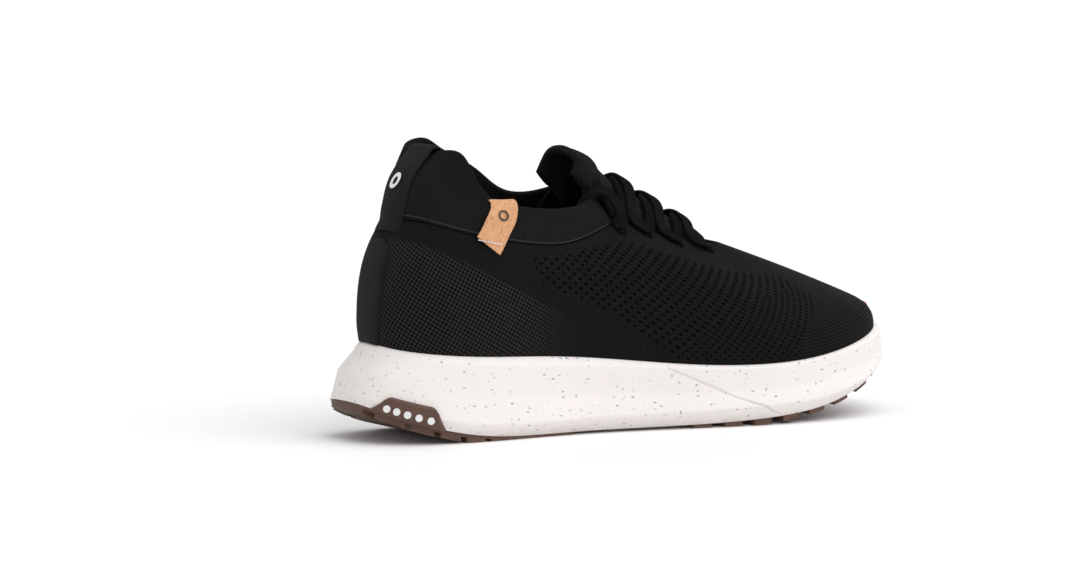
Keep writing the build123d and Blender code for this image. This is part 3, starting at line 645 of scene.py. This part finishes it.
def frames(points, ups, count):
    """Evenly spaced centres, sideways and upward directions, and lengths along a smooth line."""
    points = np.asarray(points, float)
    ups = np.asarray(ups, float)
    knots = np.concatenate([[0], np.cumsum(np.linalg.norm(np.diff(points, axis=0), axis=1))])
    at = np.linspace(0, knots[-1], count)
    centre = spline(points, knots, at)
    up = spline(ups, knots, at)
    run = np.gradient(centre, axis=0)
    across = np.cross(up, run)
    across /= np.linalg.norm(across, axis=1, keepdims=True)
    up = np.cross(run, across)
    up /= np.linalg.norm(up, axis=1, keepdims=True)
    return centre, across, up, at


def strip_section(width, thick, lanes=25, ridge=0.0, pitch=1.3):
    """Cross-section of a flat strip, with rounded edges and ridges along it."""
    side_to_side = np.linspace(-1, 1, lanes)
    edge = (1 - np.abs(side_to_side) ** 8) ** 0.5
    half = thick / 2 * (0.25 + 0.75 * edge)
    half = half + ridge * np.cos(2 * math.pi * side_to_side * width / 2 / pitch) * edge
    top = np.stack([side_to_side * width / 2, half], 1)
    return np.concatenate([top, (top * (1, -1))[::-1]])


def strip(name, points, ups, section, material, count=60, curl=(0, 0)):
    """Flat strip along a smooth line, whose sides curl down by less and less from its start to its end."""
    centre, across, up, at = frames(points, ups, count)
    loops = centre[:, None] + across[:, None] * section[None, :, :1] + up[:, None] * section[None, :, 1:]
    drop = np.interp(at / at[-1], np.linspace(0, 1, len(curl)), curl)[:, None, None]
    loops = loops - up[:, None] * drop * section[None, :, :1] ** 2
    return tube(name, loops, material, fields=knit_field(loops, at[:, None], section[None, :, 0]))


def join(name, pieces):
    """Join pieces into the first one."""
    with bpy.context.temp_override(active_object=pieces[0], selected_editable_objects=pieces,
                                   object=pieces[0], selected_objects=pieces):
        bpy.ops.object.join()
    pieces[0].name = name
    return pieces[0]


def even(surface, v, low, high, count, closed=False):
    """Stations at even distances along one row of a surface, and those distances."""
    u = np.linspace(low, high, 2001)
    line = surface(u, [v])[:, 0]
    length = np.concatenate([[0], np.cumsum(np.linalg.norm(np.diff(line, axis=0), axis=1))])
    at = np.linspace(0, length[-1], count + 1)[:-1] if closed else np.linspace(0, length[-1], count)
    return np.interp(at, length, u), at, length[-1]


def climb(grid):
    """Distance up each column of a grid, from its first row."""
    steps = np.linalg.norm(np.diff(grid, axis=1), axis=2)
    return np.concatenate([np.zeros((len(grid), 1)), np.cumsum(steps, axis=1)], axis=1)


# ---- upper ----
# Borders of the knit's zones, as places along the shoe and shares of the way up the upper.
COARSE_TOP = [(14, 0.86), (28, 0.83), (46, 0.74), (68, 0.60), (96, 0.42), (122, 0.24), (145, 0.13)]
BAND_TOP = [(60, 1.0), (82, 0.80), (87, 0.62), (108, 0.51), (124, 0.42), (137, 0.33), (152, 0.22), (164, 0.1)]
MESH_TOP = [(80, 0.84), (98, 0.89), (112, 0.91), (134, 0.85), (156, 0.78), (184, 0.77), (216, 0.73),
            (240, 0.66)]
FINER = [(156, 0.13), (170, 0.31), (180, 0.38), (206, 0.55), (225, 0.60), (250, 0.62)]
TOE_LINE = [(0.1, 222), (0.23, 223), (0.33, 226), (0.43, 238), (0.49, 243), (0.58, 238), (0.66, 233),
            (0.8, 220), (1, 200)]


def border(line, at):
    line = np.array(line)
    return np.interp(at, line[:, 0], line[:, 1])


def zones(x, v):
    """How far each kind of knit is present at places along the shoe and up the upper."""
    soft = 0.02
    below_ridge = smooth(-soft, soft, border(COARSE_TOP, x) - v)
    coarse = below_ridge * smooth(112, 72, x)
    past_band = smooth(-soft, soft, v - border(BAND_TOP, x)) * smooth(79, 85, x)
    under_top = smooth(-soft, soft, border(MESH_TOP, x) - v)
    before_toe = smooth(-2.5, 2.5, border(TOE_LINE, v) - x)
    mesh = past_band * under_top * before_toe * smooth(0.14, 0.16, v)
    finer = smooth(-soft, soft, border(FINER, x) - v) * smooth(154, 158, x)
    band = (1 - below_ridge) * (1 - past_band) * smooth(70, 90, x) * smooth(168, 160, x)
    ribs = (1 - before_toe) * smooth(0.62, 0.5, v)
    none = np.zeros_like(x)
    return (np.stack([coarse, mesh * (1 - finer), mesh * finer], -1), np.stack([band, ribs, none], -1))


def knit_relief(s, h, zone, more):
    """Height of the knit's yarns over its ground, in millimetres."""
    a = s * BASKET_COS + h * BASKET_SIN
    b = h * BASKET_COS - s * BASKET_SIN
    turn = 2 * math.pi
    basket = np.sin(turn * a / (2 * BASKET)) * np.sin(turn * b / (2 * BASKET))
    large = smooth(0.25, 0.75, np.sin(turn * s / LARGE[0]) * np.sin(turn * h / (2 * LARGE[1])))
    small = smooth(0.25, 0.75, np.sin(turn * s / SMALL[0]) * np.sin(turn * h / (2 * SMALL[1])))
    lean = np.sin(turn * (0.87 * h + 0.5 * s) / 1.5)
    rows = np.sin(turn * h / 1.7)
    return (0.14 * basket * zone[..., 0] - 0.5 * large * zone[..., 1] - 0.4 * small * zone[..., 2]
            + 0.05 * lean * more[..., 0] + 0.07 * rows * more[..., 1])


def eyelet_pit(points):
    """1 inside a punched eyelet, 0 outside."""
    pit = np.zeros(points.shape[:2])
    for u in EYELET_AT + [opposite(u) for u in EYELET_AT]:
        centre = upper([u], [EYELET_UP])[0, 0]
        away = np.linalg.norm(points - centre, axis=2)
        pit = np.maximum(pit, smooth(EYELET_RADIUS + 0.35, EYELET_RADIUS - 0.35, away))
    return pit


def rolled_rim(face, inward, half, fold, squash, back, count):
    """Points over the upper edge of a shell, from its outer face round to its inner one."""
    turn = np.linspace(0, math.pi, count)[None, 1:-1, None]
    top, into = face[:, -1:], inward[:, -1:]
    lift = top - face[:, [-1 - back]]
    lift /= np.linalg.norm(lift, axis=2, keepdims=True)
    return top + into * (half - fold * np.cos(turn)) + lift * squash * fold * np.sin(turn)


def make_upper():
    """Knit shell with its relief and punched eyelets, and the edge that it turns under the foam's rim."""
    u, s, around = even(upper, LEVELS[2], 0, STATIONS, 1300, closed=True)
    bite = LEVELS[1]
    rows = np.concatenate([np.linspace(0, bite, 5)[:-1], np.linspace(bite, 1, 140)])
    outside = upper(u, rows)
    skirt = rows < bite
    share = (rows[skirt] / bite)[None, :, None]
    outside[:, skirt] = (1 - share) * upper(u, [0]) + share * upper(u, [bite])
    inward = normals(upper, u, rows)
    h = climb(outside)
    h = h - h[:, [4]]
    x = outside[..., 0]
    run = np.minimum(s, around - s)[:, None] + 0 * h
    zone, more = zones(x, np.broadcast_to(rows, x.shape))
    pit = eyelet_pit(outside)
    # the eyelet mask also goes to the knit's colour, as painted shade in the eyelets
    more[..., 2] = pit
    clear = smooth(0.13, 0.15, rows) * smooth(1.0, 0.985, rows)
    out = knit_relief(run, h, zone, more) * clear - 1.9 * pit
    outer = outside - inward * out[..., None]
    rim = rolled_rim(outside, inward, KNIT / 2, KNIT / 2, 0.9, 1, 7)
    inner = offset(upper, u, np.linspace(1, 0, 15), KNIT)
    loops = np.concatenate([outer, rim, inner], axis=1)
    tail = loops.shape[1] - len(rows)
    rise = np.concatenate([h, h[:, -1:] + np.arange(1, tail + 1)], axis=1)
    pad = np.zeros((len(u), tail, 3))
    piece = tube("upper_shell", loops, "knit", closed=True, flip=True,
                 fields={**knit_field(loops, run[:, :1], rise), "zone": np.concatenate([zone, pad], axis=1),
                         "zone_more": np.concatenate([more, pad], axis=1)})
    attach(piece, "shoe")
    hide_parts("upper_knit")


# ---- collar ----


def make_cuff():
    """Ribbed collar: soft rolled rim, ribs up its outside, and a slight swell between its edges."""
    u, s, _ = even(collar, 0.5, -4, 4, 1180)
    v = np.linspace(0, 1, 52)
    face = collar(u, v)
    inward = normals(collar, u, v)
    rib = np.sin(2 * math.pi * s / 1.15)[:, None] * smooth(0, 0.03, v)
    swell = 0.3 * np.sin(np.pi * v)
    slack = 0.35 * np.sin(s / 9)[:, None] * np.sin(np.pi * v) * smooth(0.2, 0.9, v)
    outer = face - inward * (0.1 * rib + swell + slack)[..., None]
    fold = (CUFF / 2 + 0.1 * rib[:, -1:])[..., None]
    rim = rolled_rim(face, inward, CUFF / 2, fold, 1, 2, 9)
    inner = offset(collar, u, np.linspace(1, 0, 14), CUFF)
    loops = np.concatenate([outer, rim, inner], axis=1)
    piece = tube("ankle_cuff", loops, "cuff", flip=True, fields=knit_field(loops, s[:, None], climb(loops)))
    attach(piece, "shoe")
    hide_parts("collar_cuff")


def make_seam_stitch():
    """Row of small stitches along the collar's seam."""
    u, _, _ = even(collar, 0.04, -3.85, 3.85, 210)
    centre = offset(collar, u, [0.04], -0.1)[:, 0]
    out = -normals(collar, u, [0.04])[:, 0]
    run = np.gradient(centre, axis=0)
    run /= np.linalg.norm(run, axis=1, keepdims=True)
    up = np.cross(run, out)
    turn = np.linspace(0, 2 * math.pi, 9)[:-1]
    loops = []
    for along_it in np.linspace(-1, 1, 5):
        girth = 0.26 * math.sqrt(1.04 - along_it**2)
        loops.append(centre[:, None] + run[:, None] * along_it * 0.42 + girth * (
            out[:, None] * np.cos(turn)[:, None] + up[:, None] * np.sin(turn)[:, None]))
    dots = [tube("stitch", dot, "thread") for dot in np.stack(loops, axis=1)]
    piece = join("cuff_stitch", dots)
    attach(piece, "shoe")
    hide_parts("collar_seam_stitch")


def make_ankle_padding():
    """Padded lining inside the heel, crowned between its edges."""
    u, s, _ = even(upper, 0.66, -2.6, 2.6, 260)
    v = np.linspace(0.15, 0.97, 60)
    edge = np.minimum(v - v[0], v[-1] - v) / 0.06
    swell = np.sqrt(np.clip(edge, 0, 1)) * smooth(0, 8, np.minimum(s, s[-1] - s))[:, None]
    near = offset(upper, u, v, 3.8)
    into = normals(upper, u, v)
    inner = near + into * (0.3 + 1.4 * swell)[..., None]
    loops = np.concatenate([near, inner[:, ::-1]], axis=1)
    piece = tube("ankle_padding", loops, "lining", flip=True)
    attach(piece, "shoe")
    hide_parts("heel_lining")


# ---- tongue ----


def make_tongue():
    """Padded tongue in one piece."""
    u = np.linspace(0, len(TONGUE_ROWS) - 1, 240)
    v = np.linspace(0, 1, 90)
    gusset = GUSSET * smooth(7.0, 5.4, u)
    face = np.array([tongue([a], v + (2 * v - 1) * wide)[0] for a, wide in zip(u, gusset)])
    outward = np.array([normals(tongue, [a], v + (2 * v - 1) * wide)[0] for a, wide in zip(u, gusset)])
    away = np.minimum(v, 1 - v) * TONGUE_WIDE
    end = climb(np.transpose(face[:, 40:41], (1, 0, 2)))[0]
    from_top = (end[-1] - end)[:, None]
    from_foot = end[:, None]
    edge = np.minimum(np.minimum(away, from_top), from_foot)
    thin = np.sqrt(np.clip(edge / 1.7, 0, 1) * (2 - np.clip(edge / 1.7, 0, 1)))
    middle = face - outward * TONGUE_THICK / 2
    half = TONGUE_THICK / 2 * thin
    soft = 0.35 * smooth(2, 12, np.minimum(away, from_top)) * smooth(4.2, 6, u)[:, None]
    welt = 0.3 * smooth(3.6, 3.0, edge) * smooth(1.2, 2.4, edge)
    outer = middle + outward * (half + soft + welt)[..., None]
    inner = middle - outward * (half + welt)[..., None]
    loops = np.concatenate([outer, inner[:, ::-1]], axis=1)
    lanes = np.concatenate([v, v[::-1]]) * TONGUE_WIDE
    piece = tube("padded_tongue", loops, "tongue", fields=knit_field(loops, lanes, end[:, None]))
    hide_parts("tongue", "tongue_top")
    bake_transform(piece)


# ---- lace ----


def over_tongue(station, across, lift):
    """A point and the outward normal on the tongue, abreast of a station of the throat."""
    row = np.interp(-station, [-u for u, _ in TONGUE_UNDER], np.arange(len(TONGUE_UNDER)))
    foot, head = (offset(tongue, [row], [across], d)[0, 0] for d in (lift, lift + 1))
    return foot, head - foot


def over_upper(station, up, lift):
    foot, head = (offset(upper, [station], [up], -d)[0, 0] for d in (lift, lift + 1))
    return foot, head - foot


def rising(station, lateral):
    """The lace's first points: up out of an eyelet, leaning towards the throat."""
    u = station if lateral else opposite(station)
    down = upper([u], [EYELET_UP - 0.05])[0, 0] - upper([u], [EYELET_UP])[0, 0]
    down /= np.linalg.norm(down)
    inside, normal = over_upper(u, EYELET_UP + 0.005, -1.6)
    mouth, _ = over_upper(u, EYELET_UP + 0.012, 0.5)
    return (inside, -down), (mouth, normal * 0.75 - down)


def crossing(i, lateral, layer):
    """One pass: out of an eyelet, over the tongue and under the far edge to the next eyelet."""
    near, far = EYELET_AT[i + 1], EYELET_AT[i]

    def here(u):
        return u if lateral else opposite(u)

    def across(v):
        return v if lateral else 1 - v

    return [*rising(near, lateral),
            over_upper(here(0.93 * near + 0.07 * far), 0.995, 1.7),
            over_tongue(0.62 * near + 0.38 * far, across(0.43), 1.6 + layer),
            over_tongue(0.5 * near + 0.5 * far, across(0.5), 1.5 + layer),
            over_tongue(0.35 * near + 0.65 * far, across(0.57), 1.6 + 0.5 * layer),
            over_tongue(0.25 * near + 0.75 * far, across(0.64), 1.3),
            over_upper(opposite(here(far)), EYELET_UP + 0.03, -3.4)]


def lace_tail(lateral):
    """From the top eyelet up along the collar, over its corner and down inside."""
    mirror = np.array([1, 1 if lateral else -1, 1])
    raise_by = np.array([0, 0, 0 if lateral else 3])
    u = EYELET_AT[0] if lateral else opposite(EYELET_AT[0])
    steps = [*rising(EYELET_AT[0], lateral), over_upper(u + (0.05 if lateral else -0.05), 1.0, 2.0)]
    return steps + [(np.array(p) * mirror + raise_by, np.array(n) * mirror) for p, n in TAIL]


def make_lace():
    """Crossed passes, two tucked ends and the lowest bar, a little bolder than the plain strip."""
    section = strip_section(LACE[0] * 1.04, LACE[1] * 1.3, lanes=31, ridge=0.2)
    routes = [crossing(i, *way) for i in range(len(EYELET_AT) - 1) for way in ((True, 1.8), (False, 0))]
    routes += [lace_tail(True), lace_tail(False)]
    low = EYELET_AT[-1] + 0.1
    routes.append([over_tongue(low, across, 1.4) for across in (0.3, 0.39, 0.44, 0.5, 0.56, 0.61, 0.7)])
    passes = [strip("lace_pass", *zip(*steps), section, "braid", count=90) for steps in routes]
    piece = join("flat_lace", passes)
    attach(piece, "shoe")
    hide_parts("lace")


# ---- heel tape, pull loop and label ----


def in_plane(points):
    """Outward normals of a line in the shoe's middle plane that runs up the heel."""
    run = np.gradient(np.asarray(points, float), axis=0)
    return np.stack([-run[:, 2], 0 * run[:, 0], run[:, 0]], 1)


def over_rim():
    """Points of the pull loop where it folds over the collar's rim."""
    rim, below = collar([0], [1, 0.9])[0]
    outward = offset(collar, [0], [1], -1)[0, 0] - rim
    upward = (rim - below) / np.linalg.norm(rim - below)
    return [rim + out * outward + up * upward for out, up in LOOP_OVER]


def make_pull_loop():
    """One ribbon: sewn foot, free span, and the end that folds over the rim."""
    v = np.linspace(0.02, 0.97, 7)
    share = (v - v[0]) / (v[-1] - v[0])
    stand = np.interp(share, (0, 1), LOOP_LIFT) + LOOP_BOW * np.sin(np.pi * share)
    line = [offset(collar, [0], [at], -rise)[0, 0] for at, rise in zip(v, stand)]
    foot = [offset(upper, [0], [at], -1.3)[0, 0] for at in (0.9, 0.94, 0.98)]
    points = np.array([*foot, *line, *over_rim()])
    section = strip_section(*LOOP, lanes=41, ridge=0.03, pitch=1.1)
    piece = strip("pull_loop_strap", points, in_plane(points), section, "webbing", count=170,
                  curl=(0.022, 0.016, 0.007, 0.004, 0, 0))
    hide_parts("heel_pull_loop", "heel_loop_ends")
    middle = offset(collar, [0], [0.5], -np.mean(LOOP_LIFT) - LOOP_BOW)[0, 0]
    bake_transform(piece)


def make_heel_tape():
    """Webbing up the back of the heel: straight sides, rounded edges and a domed top."""
    v = np.linspace(*TAPE_RISE, 150)
    rise = climb(upper([0], v))[0]
    from_top = rise[-1] - rise
    lanes = np.linspace(-1, 1, 41)
    half = 0.46 * np.sqrt(1 - (1 - np.clip(from_top / 9, 0, 1)) ** 2.4)
    half = np.maximum(half, 0.02)
    loops = []
    edge = (1 - np.abs(lanes) ** 10) ** 0.5
    fall = smooth(0, 1.2, from_top)
    for at, wide, shrink in zip(v, half, fall):
        u = lanes * wide
        skin = upper(u, [at])[:, 0]
        out = -normals(upper, u, [at])[:, 0]
        lift = (0.25 + 0.95 * edge * (0.3 + 0.7 * shrink))[:, None]
        loops.append(np.concatenate([skin + out * lift, (skin + 0.1 * out)[::-1]]))
    loops = np.array(loops)
    across = np.concatenate([lanes, lanes[::-1]]) * TAPE_HALF
    piece = tube("heel_webbing", loops, "webbing", fields=knit_field(loops, rise[:, None], across), flip=True)
    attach(piece, "shoe")
    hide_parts("heel_tape")


def make_label():
    """Cork label, from inside the collar over its rim and down past the seam."""
    rim = [offset(collar, [u], [v], depth)[0, 0] for u, v, depth in LABEL_RIM]
    foot = [offset(upper, [u], [v], depth)[0, 0] for u, v, depth in LABEL_FOOT]
    points = np.array(rim + foot)
    run = np.gradient(points, axis=0)
    ups = np.cross(run, (1, 0, 0.0))
    section = strip_section(*LABEL, lanes=21)
    piece = strip("cork_label", points, ups, section, "cork", count=110)
    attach(piece, "shoe")
    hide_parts("side_label")


# ---- sole ----
GROOVE = [(3.86, 1.0), (4.41, 0.69), (5.2, 0.0)]      # a slanted parting line on each side of the foam


def groove_depth(u, v):
    """Depth of the parting lines at places on the foam's side."""
    line = np.array(GROOVE)
    station = np.interp(v, line[::-1, 1], line[::-1, 0])
    away = np.minimum(np.abs(u - station), np.abs(opposite(u) - station)) * 46
    return 0.95 * np.exp(-(away / 0.55) ** 2) * smooth(0.02, 0.1, v)


def make_midsole():
    """Foam sole: soft bevel at its top, a crease along its middle and a flared foot."""
    u, _, _ = even(side, 0.65, 0, STATIONS, 1300, closed=True)
    v = np.linspace(0, 1, 56)
    sharp = np.array([[np.interp(v, SIDE_LEVELS, row) for row in station.T]
                      for station in side(u, SIDE_LEVELS)])
    sharp = np.transpose(sharp, (0, 2, 1))
    padded = np.pad(sharp, ((0, 0), (1, 1), (0, 0)), "reflect", reflect_type="odd")
    soft = (padded[:, :-2] + padded[:, 1:-1] + padded[:, 2:]) / 3
    face = 0.15 * side(u, v) + 0.85 * soft
    into = normals(side, u, v)
    face = face + into * groove_depth(u[:, None], v)[..., None]
    rim = face[:, -1]
    bite = upper(u, [LEVELS[1]])[:, 0]
    bevel = []
    for t in np.linspace(0, 1, 9)[1:]:
        round_off = 0.5 * math.sin(math.pi * t)
        bevel.append((1 - t) * rim + t * bite - into[:, -1] * round_off * 0.6 + (0, 0, round_off * 0.5))
    feather = upper(u, [0])[:, 0] - (0, 0, 0.6)
    deck = []
    for t in np.linspace(0, 1, 12)[1:]:
        inside = (1 - t) * feather[:, :2] + t * spine_of(feather[:, 0])
        deck.append(np.column_stack([inside, height(FOOTBED, inside[:, 0])]))
    base = []
    foot = face[:, 0]
    for t in np.linspace(0, 1, 16)[:0:-1]:
        inside = (1 - t) * foot[:, :2] + t * spine_of(foot[:, 0], low=20, high=280)
        base.append(np.column_stack([inside, height(ROCKER, inside[:, 0]) + 0.05]))
    loops = np.stack([*base, *np.transpose(face, (1, 0, 2)), *bevel, feather, *deck], axis=1)
    piece = mesh_object("foam_midsole", loops.reshape(-1, 3), sheet_faces(loops), "foam")
    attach(piece, "shoe")
    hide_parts("midsole")


PLATE_UP = 0.42
PLATE_ENDS = ((0.76, 0.62), (1.72, -0.3))      # station at the base and slant of each end
PLATE_PROUD = 1.35


def make_window():
    """Rubber plate that laps up the heel's side: slanted ends, rounded corners, a raised border."""
    across = np.linspace(0, 1, 110)
    up = np.linspace(0, 1, 60)
    v = PLATE_UP * up
    back, front = (base + slant * v for base, slant in PLATE_ENDS)
    corner = np.sqrt(1 - np.clip((up - 0.72) / 0.28, 0, 1) ** 2)
    half = (front - back) / 2 - 0.055 * (1 - corner)
    middle = (front + back) / 2
    u = middle + (2 * across - 1)[:, None] * half
    grid = np.array([[side([a], [b])[0, 0] for a, b in zip(row, v)] for row in u])
    run, climb_up = np.gradient(grid, axis=0), np.gradient(grid, axis=1)
    out = np.cross(run, climb_up)
    out /= np.linalg.norm(out, axis=2, keepdims=True)
    out *= np.sign((out * -normals(side, [1.2], [0.2])[0, 0]).sum(axis=2, keepdims=True))
    edge = np.minimum(np.minimum(across, 1 - across)[:, None] * 30, (1 - up) * 12)
    lift = 0.15 + PLATE_PROUD * smooth(0, 0.7, edge) + 0.35 * smooth(0.5, 1, edge) * smooth(2.4, 1.9, edge)
    outer = grid + out * lift[..., None]
    inner = grid - out * 0.2
    loops = np.concatenate([outer, inner[:, ::-1]], axis=1)
    piece = tube("heel_side_plate", loops, "rubber", flip=True)
    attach(piece, "shoe")
    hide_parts("outsole_heel_window")


def make_footbed():
    """Insole: cupped at the heel, its cloth top in one with the foam."""
    u, _, _ = even(upper, 0, 0, STATIONS, 260, closed=True)
    edge = offset(upper, u, [0], KNIT + 0.7)[:, 0, :2]
    rings = []
    for t in np.linspace(0, 1, 24):
        inside = (1 - t) * edge + t * spine_of(edge[:, 0])
        cup = 1.1 * smooth(0.35, 0.0, t) - 0.5 * smooth(0.05, 0.0, t)
        top = height(FOOTBED, inside[:, 0]) + CLOTH_TOP - 0.6 + cup
        rings.append(np.column_stack([inside, top]))
    low = np.column_stack([edge, height(FOOTBED, edge[:, 0]) + 2.6])
    loops = np.stack([low, *rings], axis=1)
    piece = mesh_object("footbed", loops.reshape(-1, 3), sheet_faces(loops), "lining")
    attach(piece, "shoe")
    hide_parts("insole_foam", "insole_top_cloth")


# ---- carried-over CAD pieces ----
CAD_FINISH = {
    "outsole_heel": "rubber", "outsole_forefoot": "rubber", "window_dots": "ink",
    "strobel_board": "board", "strobel_stitch": "thread", "heel_counter": "counter", "toe_puff": "counter",
    "eyestay_lateral": "stay", "eyestay_medial": "stay",
    "lace_aglets": "film", "loop_print": "ink", "side_label_stitch": "pale_thread",
    "side_label_print": "dark_ink", "toe_label": "cork"}


def finish_cad_pieces():
    for node, material in CAD_FINISH.items():
        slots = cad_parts[node].data.materials
        slots.clear()
        slots.append(MATERIALS[material])


# ---- stage ----
FLOOR_REACH = 14
SUN_POWER = 1.75
SUN_SOFTNESS = math.radians(70)
SUN_AIM = (-0.3, 0.55, -1)
SKY = 0.66


def make_stage():
    mesh = bpy.data.meshes.new("floor")
    reach = FLOOR_REACH
    mesh.from_pydata([(-reach, -reach, 0), (reach, -reach, 0), (reach, reach, 0), (-reach, reach, 0)], [],
                     [(0, 1, 2, 3)])
    g = Graph("floor")
    cloud = g.noise(g.position(1.0), 3.0, 2.0)
    mesh.materials.append(g.finish(g.mix(cloud, grey(0.95), grey(0.97)), 0.6, Specular_IOR_Level=0.2))
    floor = new_object("floor", mesh)
    world = bpy.data.worlds.new("studio")
    world.use_nodes = True
    sky = world.node_tree.nodes["Background"].inputs
    sky["Color"].default_value = (1, 1, 1, 1)
    sky["Strength"].default_value = SKY
    bpy.context.scene.world = world
    data = bpy.data.lights.new("soft_sun", "SUN")
    data.energy = SUN_POWER
    data.angle = SUN_SOFTNESS
    sun = new_object("soft_sun", data)
    sun.rotation_euler = Vector(SUN_AIM).to_track_quat("-Z", "Y").to_euler()
    bpy.context.scene.view_settings.view_transform = "Standard"


# ---- the shoe ----
make_upper()
make_cuff()
make_seam_stitch()
make_ankle_padding()
make_tongue()
make_lace()
make_pull_loop()
make_heel_tape()
make_label()
make_midsole()
make_window()
make_footbed()
finish_cad_pieces()
make_stage()
